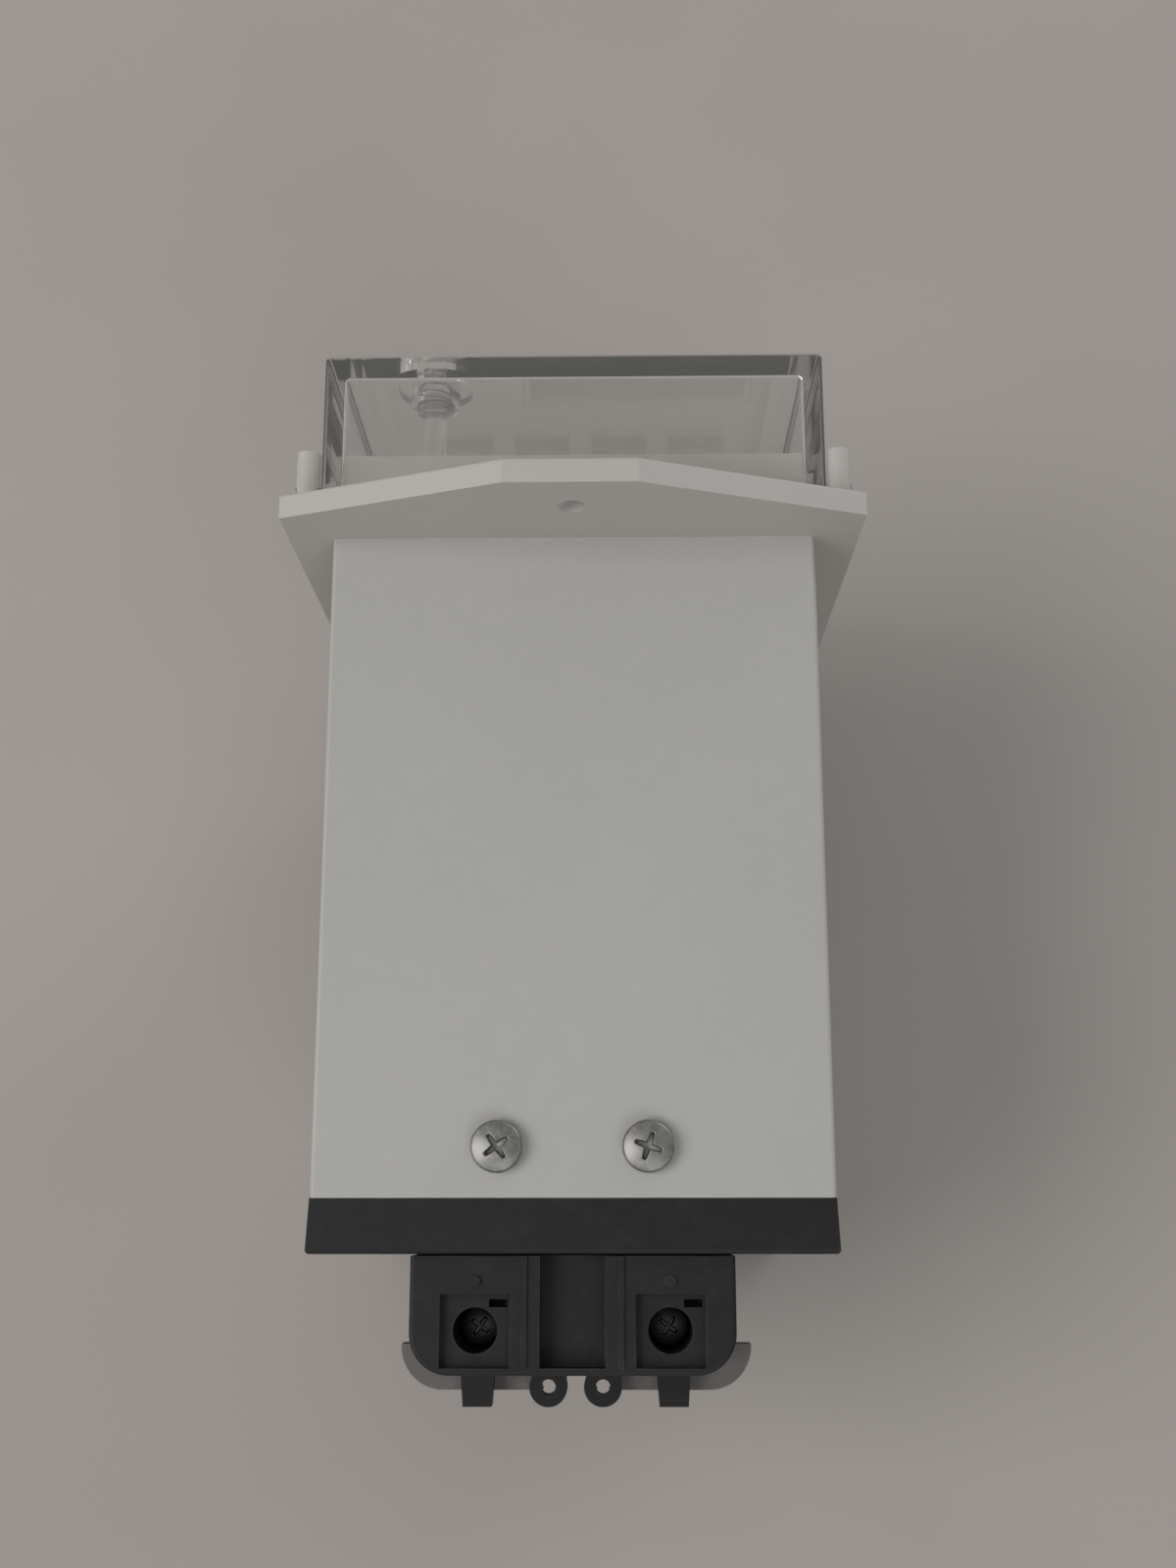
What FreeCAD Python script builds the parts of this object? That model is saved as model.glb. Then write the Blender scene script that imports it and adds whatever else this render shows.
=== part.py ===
import FreeCAD, Part
import os
import re
import Sketcher
from FreeCAD import Placement, Rotation, Vector

# Flush-mounting plug-in meter in a light-grey case: a flange with a hump above and below, a clear cover
# that swings up on two posts, and a black plug-in terminal block at the back.
# Frame: the origin is the middle of the flange's rear face, where the panel lies. X is to the right seen
# from the front, Y runs backwards into the case and Z is up. Millimetres.

SIZES = {
    # case tube and the plate that closes its back
    "case_wide": 81, "case_tall": 98, "case_deep": 108, "case_wall": 2.2, "case_edge": 0.7,
    "slip_gap": 0.15, "run_gap": 0.3, "hole_gap": 0.25, "plate_thick": 8.35, "plate_flare": 0.35,
    "plate_edge": 0.6, "spigot_deep": 15, "spigot_wall": 3, "lug_wide": 9, "lug_tall": 6,
    # flange and the collar that stands in front of it
    "flange_wide": "=case_wide + 15", "flange_tall": "=case_tall + 46", "flange_thick": 4.1,
    "flange_edge": 0.5, "shoulder_tall": "=case_tall + 18", "hump_flat": 21.3,
    "panel_pitch": "=case_tall + 26.6", "panel_hole": 2.35, "collar_wide": "=case_wide - 3",
    "collar_tall": "=case_tall - 2", "collar_deep": 11, "collar_wall": 2, "collar_edge": 0.5,
    "ledge_wide": 3, "neck_deep": 7,
    # clear cover and its hinge posts
    "cover_wide": "=collar_wide + 6.6", "cover_tall": "=collar_tall + 10", "cover_deep": 26.9,
    "cover_wall": 3, "cover_lift": 0.7, "cover_edge": 0.8, "cover_inner": 1, "hinge_drop": 1.6,
    "hinge_front": 3.1, "hinge_pin": 1.0, "pin_play": 0.06, "post_round": 2.0, "post_long": 10,
    "root_round": 1.6, "root_long": 3, "grip_wide": 16, "grip_deep": 4, "grip_thick": 1.6,
    # push rod through the cover, and the reset button behind it
    "reset_across": "=collar_wide / 2 - 14.7", "reset_up": "=collar_tall / 2 - 5.6", "boss_round": 4.3,
    "boss_long": 2.4, "dish_round": 6.5, "dish_deep": 1.2, "bore_round": 3.4, "bore_deep": 3.2,
    "rod_round": 2.0, "rod_head": 3.2, "head_thick": 1.2, "head_proud": 0.6, "rod_play": 0.08,
    "rod_reach": 0.9, "press_gap": 0.1, "clip_round": 3.0, "clip_thick": 0.8, "coil_round": 2.65,
    "coil_wire": 0.22, "button_round": 2.3, "button_flange": 1.0,
    # front plate, window, keys and lamps
    "face_thick": 2, "face_back": 3, "window_wide": 42, "window_tall": "=collar_tall / 2 - 21",
    "window_across": "=reset_across - 35.8", "window_up": "=collar_tall / 2 - 28", "window_thick": 1.5,
    "key_wide": "=key_pitch - 5", "key_tall": 7, "key_pitch": "=(collar_wide - 14) / 4", "key_drop": 14,
    "key_proud": 1.4, "key_lip": 0.8, "key_soft": 0.8, "lamp_round": 1.5,
    "lamp_pitch": "=window_tall / 3", "lamp_up": "=window_up + 6", "lamp_proud": 0.5, "lens_gap": 0.8,
    "led_wide": 3.4, "led_deep": 2.2, "led_tall": 3, "module_lip": 1,
    # circuit boards
    "board_thick": 1.6, "front_gap": 6.6, "front_wide": "=collar_wide - 12",
    "front_tall": "=collar_tall - 12", "stand_round": 2.5, "stand_across": "=front_wide / 2 - 3",
    "stand_up": "=front_tall / 2 - 3", "board_first": "=neck_deep + 2", "board_long": "=case_deep - 28",
    "board_inset": 3.2, "main_across": "=case_wide / 2 - 16.5", "power_across": "=15.5 - case_wide / 2",
    "rail_wide": 4.4, "rail_tall": 4, "switch_size": 6, "switch_tall": 3.4, "stem_round": 1.6,
    "stem_long": 1.2,
    # what stands on the two upright boards
    "relay_high": 12.5, "relay_long": "=25 / 108 * case_deep", "relay_tall": "=16 / 98 * case_tall",
    "relay_first": "=52 / 108 * case_deep", "relay_up": "=12 / 98 * case_tall",
    "relay_pitch": "=21 / 98 * case_tall", "chip_thick": 1.6, "chip_large": "=14 / 98 * case_tall",
    "chip_small": "=6 / 98 * case_tall", "chip_first": "=28 / 108 * case_deep", "chip_up": "=relay_up",
    "power_chip_high": 3.4, "power_chip_long": 11, "power_chip_tall": "=4.6 / 98 * case_tall",
    "power_chip_first": "=46 / 108 * case_deep", "power_chip_drop": "=40 / 98 * case_tall",
    "cell_round": 8, "cell_thick": 3.2, "cell_back": "=36 / 108 * case_deep",
    "cell_drop": "=17 / 98 * case_tall", "core_high": 22, "core_long": "=26 / 108 * case_deep",
    "core_tall": "=36 / 98 * case_tall", "core_first": "=24 / 108 * case_deep", "core_middle": 0,
    "core_yoke": 3, "core_leg": "=core_tall / 3", "core_window": "=core_tall / 6", "coil_gap": 0.2,
    "coil_proud": 5.5, "tank_round": "=tank_pitch / 2.4", "tank_long": 17,
    "tank_back": "=68 / 108 * case_deep", "tank_up": "=32 / 98 * case_tall",
    "tank_pitch": "=12 / 98 * case_tall", "can_round": 3.2, "can_long": 11,
    "can_back": "=80 / 108 * case_deep", "can_up": "=35 / 98 * case_tall",
    "can_pitch": "=8 / 98 * case_tall", "ring_round": "=8.6 / 98 * case_tall", "ring_high": 9,
    "ring_hole": 3.6, "ring_back": "=72 / 108 * case_deep", "ring_up": "=6 / 98 * case_tall",
    "ring_pitch": "=19 / 98 * case_tall", "header_flat": 2.2, "header_first": "=board_first + 3",
    "header_long": 8, "header_end": 2, "header_high": 9, "header_back": "=81 / 108 * case_deep",
    "header_deep": 7, "header_up": "=6 / 98 * case_tall", "header_main": "=26 / 98 * case_tall",
    "header_power": "=16 / 98 * case_tall", "ribbon_thick": 0.8, "ribbon_wide": "=18 / 98 * case_tall",
    "ribbon_drop": "=25 / 98 * case_tall",
    # terminal plug and its socket
    "plug_wide": 49.8, "plug_deep": 17.5, "plug_half": "=25.5 / 98 * case_tall",
    "plug_middle": "=22 / 98 * case_tall", "plug_corner": "=plug_deep / 2.82",
    "plug_gap": 0.3, "well_wide": 10.6, "well_long": "=plug_deep - 6.7", "well_deep": 14,
    "well_across": "=plug_wide / 2 - 10", "well_back": 1.1, "well_sink": 1.4, "well_round": 3.4,
    "slit_wide": 2.8, "slit_long": 1.2,
    "slit_in": 0.8, "slit_deep": 4, "slit_aside": 3.5, "bead_round": 0.8, "bead_tall": 0.5,
    "bead_before": 1.9, "ditch_wide": 10, "ditch_deep": 3.5, "rib_wide": 0.8, "rib_across": 7.4,
    "rib_tall": 0.4, "rib_root": 1, "shell_wall": 2.2, "shell_edge": 0.6, "eyelet_round": 3.1,
    "eyelet_hole": 1.2, "eyelet_across": 4.45, "ear_root": 1, "eyelet_neck": 1.2, "eyelet_out": 3.7,
    "eyelet_thick": 3, "tab_across": "=plug_wide / 2 - 8.9", "tab_root": 5.8, "tab_tip": 4.7,
    "tab_out": 6.7, "tab_thick": 3.5, "lip_wide": "=plug_wide + 8", "lip_front": 2.8, "lip_out": 4.4,
    "lip_corner": 7, "lip_thick": 4.5, "lip_notch": 3.2, "blade_wide": 6, "blade_thick": 0.8,
    "blade_long": 12, "blade_up": "=(plug_half - well_deep - shell_wall) / 2 + 0.85",
    "clamp_size": 7.4, "socket_wide": "=plug_wide - 5.8", "socket_tall": "=2 * plug_half - 21",
    "socket_deep": 15, "socket_rim": 4, "rim_thick": 2.9, "rim_over": 0.1, "slot_wide": 7,
    "slot_tall": 3.4, "contact_gap": 0.2, "contact_long": 10,
    "contact_in": 1, "clamp_gap": 1,
    # fasteners
    "screw_across": 11.7, "screw_back": 7.7, "screw_long": 9, "pan_thread": 2, "pan_head": 4,
    "pan_tall": 2.9, "clamp_thread": 1.75, "clamp_head": 3.1, "clamp_tall": 2.4, "small_thread": 1.2,
    "small_head": 2.3, "small_tall": 1.6, "small_long": 4, "dome_share": 1.3, "arm_share": 1.15,
    "arm_thin": 0.24, "earth_across": "=case_wide / 2 - 13.5", "earth_drop": "=case_tall / 2 - 16",
    "washer_round": 5.2, "washer_thick": 0.9, "label_wide": "=case_wide - 37", "label_tall": 24,
    "label_across": -8, "label_sink": 0.5, "label_thick": 0.4,
}

doc = FreeCAD.newDocument("plug_in_meter")
sheet = doc.addObject("Spreadsheet::Sheet", "Sizes")
for row, (word, value) in enumerate(SIZES.items(), start=1):
    sheet.set("A%d" % row, word)
    sheet.set("B%d" % row, str(value))
    sheet.setAlias("B%d" % row, word)
doc.recompute()

NODES = []


def linked(text):
    """Turn a formula in plain size names into one that reads the sheet's cells."""
    return re.sub(r"\b([a-z]+_[a-z]+(?:_[a-z]+)*)\b", r"Sizes.\1", text)


def number(text):
    """Present value of a formula, which places a sketch's first guess."""
    return float(sheet.evalExpression(linked(text)))


def bind(item, **formulas):
    """Tie properties of an object to the sheet."""
    for name, text in formulas.items():
        item.setExpression(name, linked(text))
    return item


def move(item, x="0", y="0", z="0", turn=None):
    """Place an object at bound coordinates, turned first by (axis, degrees)."""
    if turn:
        item.Placement = Placement(Vector(), Rotation(Vector(*turn[0]), turn[1]))
    for letter, text in zip("xyz", (x, y, z)):
        item.setExpression("Placement.Base." + letter, linked(text))
    return item


ALONG_Y = ((1, 0, 0), -90)
ALONG_X = ((0, 1, 0), 90)
DOWNWARD = ((1, 0, 0), 180)


def box(x, y, z, wide, deep, tall):
    """Box centred on x, starting at y and z."""
    item = doc.addObject("Part::Box", "Box")
    bind(item, Length=wide, Width=deep, Height=tall)
    return move(item, "(%s) - (%s) / 2" % (x, wide), y, z)


def rod(radius, length, x, y, z, turn=None):
    """Cylinder starting at a point and running up, or along the turned direction."""
    item = doc.addObject("Part::Cylinder", "Rod")
    bind(item, Radius=radius, Height=length)
    return move(item, x, y, z, turn)


def joined(*items):
    """One solid from several overlapping ones."""
    item = doc.addObject("Part::MultiFuse", "Joined")
    item.Shapes = list(items)
    item.Refine = True
    return item


def cut(base, *tools):
    """A solid with others taken out of it."""
    tool = tools[0] if len(tools) == 1 else joined(*tools)
    item = doc.addObject("Part::Cut", "Cut")
    item.Base = base
    item.Tool = tool
    return item


def group(*items):
    """Like pieces that stay separate solids in one node."""
    item = doc.addObject("Part::Compound", "Group")
    item.Links = list(items)
    return item


def node(item, label):
    """Name a finished sub-part, which is also its file."""
    item.Label = label
    NODES.append(item)
    return item


def body(name):
    return doc.addObject("PartDesign::Body", name)


def sketch(owner, name, role, offset="0"):
    """Sketch on one of the body's own origin planes, offset along the plane's normal."""
    drawing = owner.newObject("Sketcher::SketchObject", name)
    plane = next(part for part in owner.Origin.OriginFeatures if part.Role == role)
    drawing.AttachmentSupport = (plane, [""])
    drawing.MapMode = "FlatFace"
    drawing.setExpression("AttachmentOffset.Base.z", linked(offset))
    return drawing


def pin_point(drawing, shape, end, x, y, tag):
    """Hold a point of a sketch at bound distances from the sketch's origin."""
    for kind, axis, text in (("DistanceX", -2, x), ("DistanceY", -1, y)):
        if text == "0":
            drawing.addConstraint(Sketcher.Constraint("PointOnObject", shape, end, axis))
            continue
        index = drawing.addConstraint(Sketcher.Constraint(kind, -1, 1, shape, end, number(text)))
        drawing.renameConstraint(index, kind + tag)
        drawing.setExpression("Constraints." + kind + tag, linked(text))


def outline(drawing, corners):
    """Closed outline of straight lines through bound corners."""
    spots = [Vector(number(x), number(y), 0) for x, y in corners]
    first = drawing.GeometryCount
    count = len(spots)
    for step in range(count):
        drawing.addGeometry(Part.LineSegment(spots[step], spots[(step + 1) % count]))
    for step in range(count):
        following = first + (step + 1) % count
        drawing.addConstraint(Sketcher.Constraint("Coincident", first + step, 2, following, 1))
    for step, (x, y) in enumerate(corners):
        pin_point(drawing, first + step, 1, x, y, "p%d_%d" % (first, step))


def rectangle(drawing, left, low, right, high):
    """Upright rectangle between bound sides."""
    outline(drawing, [(left, low), (right, low), (right, high), (left, high)])


def frame_outline(drawing, wide, tall, across="0", up="0"):
    """Rectangle of a bound size around a bound middle."""
    sides = ["(%s) %s (%s) / 2" % (across, sign, wide) for sign in "-+"]
    ends = ["(%s) %s (%s) / 2" % (up, sign, tall) for sign in "-+"]
    rectangle(drawing, sides[0], ends[0], sides[1], ends[1])


def circle(drawing, x, y, radius):
    """Circle with a bound centre and radius."""
    index = drawing.addGeometry(Part.Circle(Vector(number(x), number(y), 0), Vector(0, 0, 1), number(radius)))
    pin_point(drawing, index, 3, x, y, "c%d" % index)
    rim = drawing.addConstraint(Sketcher.Constraint("Radius", index, number(radius)))
    drawing.renameConstraint(rim, "Radius%d" % index)
    drawing.setExpression("Constraints.Radius%d" % index, linked(radius))


def pad(owner, drawing, length, backwards=False):
    item = owner.newObject("PartDesign::Pad", "Pad")
    item.Profile = drawing
    item.Reversed = backwards
    bind(item, Length=length)
    drawing.Visibility = False
    doc.recompute()
    return item


def pocket(owner, drawing, length=None, backwards=False):
    """Cut a sketch into the body, and make sure that material went away."""
    before = owner.Shape.Volume
    item = owner.newObject("PartDesign::Pocket", "Pocket")
    item.Profile = drawing
    item.Reversed = backwards
    if length:
        bind(item, Length=length)
    else:
        item.Type = "ThroughAll"
        item.Midplane = True
    doc.recompute()
    if item.Shape.Volume >= before - 1e-6:
        raise RuntimeError("%s cuts nothing" % item.Label)
    return item


def rounded(owner, radius, wanted):
    """Fillet the edges of the body's tip that a test picks."""
    tip = owner.Tip
    names = ["Edge%d" % (count + 1) for count, edge in enumerate(tip.Shape.Edges) if wanted(edge)]
    if not names:
        raise RuntimeError("no edge to round on " + owner.Label)
    item = owner.newObject("PartDesign::Fillet", "Fillet")
    item.Base = (tip, names)
    bind(item, Radius=radius)
    doc.recompute()
    return item


def runs_along(edge, axis):
    """Whether an edge is straight and parallel to one axis, 0 to 2 for X to Z."""
    if len(edge.Vertexes) != 2 or edge.Curve.TypeId != "Part::GeomLine":
        return False
    direction = edge.Curve.Direction
    return abs(abs((direction.x, direction.y, direction.z)[axis]) - 1) < 1e-6


def lies_at(edge, axis, place):
    """Whether an edge lies wholly in the plane at one place along an axis."""
    low = (edge.BoundBox.XMin, edge.BoundBox.YMin, edge.BoundBox.ZMin)[axis]
    high = (edge.BoundBox.XMax, edge.BoundBox.YMax, edge.BoundBox.ZMax)[axis]
    return abs(low - place) < 1e-4 and abs(high - place) < 1e-4


# ---------------------------------------------------------------------------------------------------
# Places that more than one sub-part is built to
POST_ACROSS = "(cover_wide / 2 + run_gap + post_round)"
HINGE_UP = "(cover_tall / 2 - hinge_drop)"
HINGE_FRONT = "(flange_thick + hinge_front)"
COVER_BACK = "(flange_thick + cover_lift)"
COVER_FRONT = "(flange_thick + cover_lift + cover_deep)"
FACE_BACK = "(flange_thick + collar_deep - face_back - face_thick)"
FACE_FRONT = "(flange_thick + collar_deep - face_back)"
BOARD_FRONT = "(flange_thick + collar_deep - face_back - face_thick - front_gap)"
PLATE_BACK = "(case_deep + plate_thick)"
PLUG_FRONT = "(case_deep + plate_thick + plug_gap)"
PLUG_BACK = "(case_deep + plate_thick + plug_gap + plug_deep)"
WELL_MIDDLE = "(case_deep + plate_thick + plug_gap + plug_deep - well_back - well_long / 2)"
INNER_WIDE = "(case_wide - 2 * case_wall - 2 * slip_gap)"
INNER_TALL = "(case_tall - 2 * case_wall - 2 * slip_gap)"

# Case tube: a plain rectangular moulding, open at both ends, with two screw holes above and below
case = body("CaseTube")
drawing = sketch(case, "CaseOutline", "XZ_Plane")
frame_outline(drawing, "case_wide", "case_tall")
pad(case, drawing, "case_deep", backwards=True)
rounded(case, "case_edge", lambda edge: runs_along(edge, 1))
drawing = sketch(case, "CaseHollow", "XZ_Plane")
frame_outline(drawing, "case_wide - 2 * case_wall", "case_tall - 2 * case_wall")
pocket(case, drawing)
drawing = sketch(case, "ScrewHoles", "XY_Plane")
for side in ("-", ""):
    circle(drawing, side + "screw_across", "case_deep - screw_back", "pan_thread + hole_gap")
pocket(case, drawing)
node(case, "case_tube")

# Front frame: the flange with its two humps, the collar in front and the neck inside the case
front = body("FrontFrame")
drawing = sketch(front, "FlangeOutline", "XZ_Plane")
half_wide, shoulder, flat, peak = "flange_wide / 2", "shoulder_tall / 2", "hump_flat / 2", "flange_tall / 2"
outline(drawing, [
    ("-" + half_wide, "-" + shoulder), ("-" + flat, "-" + peak), (flat, "-" + peak),
    (half_wide, "-" + shoulder), (half_wide, shoulder), (flat, peak), ("-" + flat, peak),
    ("-" + half_wide, shoulder)])
pad(front, drawing, "flange_thick")
rounded(front, "flange_edge", lambda edge: lies_at(edge, 1, -number("flange_thick")))
drawing = sketch(front, "CollarOutline", "XZ_Plane")
frame_outline(drawing, "collar_wide", "collar_tall")
pad(front, drawing, "flange_thick + collar_deep")
collar_front = -number("flange_thick + collar_deep")
rounded(front, "collar_edge", lambda edge: lies_at(edge, 1, collar_front))
drawing = sketch(front, "NeckOutline", "XZ_Plane")
frame_outline(drawing, INNER_WIDE, INNER_TALL)
pad(front, drawing, "neck_deep", backwards=True)
drawing = sketch(front, "FrontOpening", "XZ_Plane")
frame_outline(drawing, "collar_wide - 2 * collar_wall - 2 * ledge_wide",
              "collar_tall - 2 * collar_wall - 2 * ledge_wide")
pocket(front, drawing)
drawing = sketch(front, "FaceSeat", "XZ_Plane", "flange_thick + collar_deep")
frame_outline(drawing, "collar_wide - 2 * collar_wall", "collar_tall - 2 * collar_wall")
pocket(front, drawing, "face_back + face_thick")
drawing = sketch(front, "ButtonRoom", "XZ_Plane")
circle(drawing, "reset_across", "reset_up", "button_round + key_lip + run_gap")
pocket(front, drawing)
drawing = sketch(front, "PanelHoles", "XZ_Plane")
for side in ("-", ""):
    circle(drawing, "0", side + "panel_pitch / 2", "panel_hole")
pocket(front, drawing)
drawing = sketch(front, "PostHoles", "XZ_Plane", "flange_thick")
for side in ("-", ""):
    circle(drawing, side + POST_ACROSS, HINGE_UP, "root_round")
pocket(front, drawing, "root_long")
node(front, "front_frame")

# Hinge posts: two round posts on the flange, drilled across for the cover's hinge pins
posts = []
for side in ("-", ""):
    across = side + POST_ACROSS
    shaft = rod("post_round", "post_long", across, "-flange_thick - post_long", HINGE_UP, ALONG_Y)
    root = rod("root_round", "root_long + post_long / 2", across, "-flange_thick - post_long / 2", HINGE_UP,
               ALONG_Y)
    eye = rod("hinge_pin + pin_play", "4 * post_round", across + " - 2 * post_round", "-" + HINGE_FRONT,
              HINGE_UP, ALONG_X)
    posts.append(cut(joined(shaft, root), eye))
node(group(*posts), "cover_hinge_posts")

# Clear cover: a deep five-sided box with a pin on each side, a boss for the push rod and a finger grip
cover = body("ClearCover")
drawing = sketch(cover, "CoverOutline", "XZ_Plane", COVER_BACK)
frame_outline(drawing, "cover_wide", "cover_tall")
pad(cover, drawing, "cover_deep")
rounded(cover, "cover_edge", lambda edge: runs_along(edge, 1))
rounded(cover, "cover_edge", lambda edge: lies_at(edge, 1, -number(COVER_FRONT)))
drawing = sketch(cover, "CoverHollow", "XZ_Plane", COVER_FRONT + " - cover_wall")
frame_outline(drawing, "cover_wide - 2 * cover_wall", "cover_tall - 2 * cover_wall")
pocket(cover, drawing, "cover_deep")
cover_room = number("cover_tall / 2 - cover_wall") + 1e-4
rounded(cover, "cover_inner", lambda edge: runs_along(edge, 1) and abs(edge.CenterOfMass.z) < cover_room)
cover_front_inside = -number(COVER_FRONT + " - cover_wall")
rounded(cover, "cover_inner", lambda edge: lies_at(edge, 1, cover_front_inside))
drawing = sketch(cover, "BossOutline", "XZ_Plane", COVER_FRONT + " - cover_wall")
circle(drawing, "reset_across", "reset_up", "boss_round")
pad(cover, drawing, "boss_long", backwards=True)
for name, radius, deep in (("Dish", "dish_round", "dish_deep"),
                           ("RodBore", "bore_round", "dish_deep + bore_deep")):
    drawing = sketch(cover, name, "XZ_Plane", COVER_FRONT)
    circle(drawing, "reset_across", "reset_up", radius)
    pocket(cover, drawing, deep)
drawing = sketch(cover, "RodHole", "XZ_Plane")
circle(drawing, "reset_across", "reset_up", "rod_round + rod_play")
pocket(cover, drawing)
for side in (False, True):
    drawing = sketch(cover, "HingePin", "YZ_Plane", "-(cover_wide / 2)" if side else "cover_wide / 2")
    circle(drawing, "-" + HINGE_FRONT, HINGE_UP, "hinge_pin")
    pad(cover, drawing, "run_gap + 2 * post_round", backwards=side)
drawing = sketch(cover, "Grip", "XY_Plane", "-(cover_tall / 2)")
half, tip = "(grip_wide / 2)", "(grip_wide / 2 - grip_deep / 2)"
grip_root = "-%s + cover_wall" % COVER_FRONT
grip_end = "-%s" % COVER_FRONT
grip_tip = "-%s - grip_deep" % COVER_FRONT
outline(drawing, [("-" + half, grip_end), ("-" + tip, grip_tip), (tip, grip_tip), (half, grip_end),
                  (half, grip_root), ("-" + half, grip_root)])
pad(cover, drawing, "grip_thick + cover_edge")
node(cover, "clear_cover")

# Push rod: headed clear rod, pressed from outside against the reset button; a clip behind the boss
# keeps it in, and a small coil spring in the bore brings it back
HEAD_FRONT = "(flange_thick + cover_lift + cover_deep - dish_deep + head_proud)"
ROD_TIP = "(flange_thick + collar_deep + rod_reach)"
head = rod("rod_head", "head_thick", "reset_across", "-" + HEAD_FRONT, "reset_up", ALONG_Y)
shaft = rod("rod_round", HEAD_FRONT + " - " + ROD_TIP, "reset_across", "-" + HEAD_FRONT, "reset_up",
            ALONG_Y)
node(joined(head, shaft), "push_rod")
CLIP_FRONT = "(" + COVER_FRONT + " - cover_wall - boss_long - press_gap)"
clip = rod("clip_round", "clip_thick", "reset_across", "-" + CLIP_FRONT, "reset_up", ALONG_Y)
hole = rod("rod_round", "clip_thick", "reset_across", "-" + CLIP_FRONT, "reset_up", ALONG_Y)
node(cut(clip, hole), "push_rod_clip")
COIL_FRONT = "(" + HEAD_FRONT + " - head_thick - coil_wire)"
COIL_BACK = "(" + COVER_FRONT + " - dish_deep - bore_deep + coil_wire)"
turns = [doc.addObject("Part::Torus", "Turn") for _ in range(4)]
for step, turn in enumerate(turns):
    bind(turn, Radius1="coil_round", Radius2="coil_wire")
    depth = "-%s + %d * (%s - %s) / %d" % (COIL_FRONT, step, COIL_FRONT, COIL_BACK, len(turns) - 1)
    move(turn, "reset_across", depth, "reset_up", ALONG_Y)
node(group(*turns), "push_rod_spring")

# Reset button: a stem with a flange behind the front plate
button = rod("button_round", ROD_TIP + " - press_gap - " + FACE_BACK + " + button_flange", "reset_across",
             "-" + ROD_TIP + " + press_gap", "reset_up", ALONG_Y)
rim = rod("button_round + key_lip", "button_flange", "reset_across", "-" + FACE_BACK + " + press_gap",
          "reset_up", ALONG_Y)
node(joined(button, rim), "reset_button")

# Front plate: stands in the collar and carries the window, the lamps and the keys
KEYS = ("key_back", "key_down", "key_up", "key_enter")
key_places = ["%g * key_pitch" % (step - (len(KEYS) - 1) / 2) for step in range(len(KEYS))]
lamp_places = ["lamp_up - %d * lamp_pitch" % step for step in range(3)]
face = body("FrontPlate")
drawing = sketch(face, "FaceOutline", "XZ_Plane", FACE_BACK)
frame_outline(drawing, "collar_wide - 2 * collar_wall - 2 * slip_gap",
              "collar_tall - 2 * collar_wall - 2 * slip_gap")
pad(face, drawing, "face_thick")
drawing = sketch(face, "FaceHoles", "XZ_Plane")
circle(drawing, "reset_across", "reset_up", "button_round + run_gap / 2")
for place in lamp_places:
    circle(drawing, "reset_across", place, "lamp_round")
frame_outline(drawing, "window_wide", "window_tall", "window_across", "window_up")
for place in key_places:
    frame_outline(drawing, "key_wide + 2 * run_gap", "key_tall + 2 * run_gap", place, "-key_drop")
pocket(face, drawing)
node(face, "front_plate")

# Window, display and lamps
node(box("window_across", "-" + FACE_FRONT, "window_up - window_tall / 2", "window_wide", "window_thick",
         "window_tall"), "display_window")
node(box("window_across", "-" + BOARD_FRONT + " - front_gap + press_gap",
         "window_up - window_tall / 2 - module_lip", "window_wide + 2 * module_lip", "front_gap - press_gap",
         "window_tall + 2 * module_lip"), "display_module")
lens_long = "lamp_proud + face_thick + front_gap - led_deep - lens_gap"
node(group(*[rod("lamp_round", lens_long, "reset_across", "-" + FACE_FRONT + " - lamp_proud", place, ALONG_Y)
             for place in lamp_places]), "indicator_lenses")
node(group(*[box("reset_across", "-" + BOARD_FRONT + " - led_deep", place + " - led_tall / 2", "led_wide",
                 "led_deep", "led_tall") for place in lamp_places]), "indicator_leds")

# Keys: soft caps that stand through the front plate, each with a skirt behind it and a stem
KEY_ROOT = "(" + FACE_BACK + " - press_gap - key_lip)"
for label, place in zip(KEYS, key_places):
    key = body("Cap")
    drawing = sketch(key, "CapOutline", "XZ_Plane", KEY_ROOT)
    frame_outline(drawing, "key_wide", "key_tall", place, "-key_drop")
    pad(key, drawing, "key_lip + press_gap + face_thick + key_proud")
    cap_front = -number(FACE_FRONT + " + key_proud")
    rounded(key, "key_soft", lambda edge: runs_along(edge, 1) or lies_at(edge, 1, cap_front))
    drawing = sketch(key, "Skirt", "XZ_Plane", KEY_ROOT)
    frame_outline(drawing, "key_wide + 2 * key_lip", "key_tall + 2 * key_lip", place, "-key_drop")
    pad(key, drawing, "key_lip")
    drawing = sketch(key, "Stem", "XZ_Plane", KEY_ROOT)
    circle(drawing, place, "-key_drop", "stem_round")
    pad(key, drawing, "stem_long", backwards=True)
    node(key, label)

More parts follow.
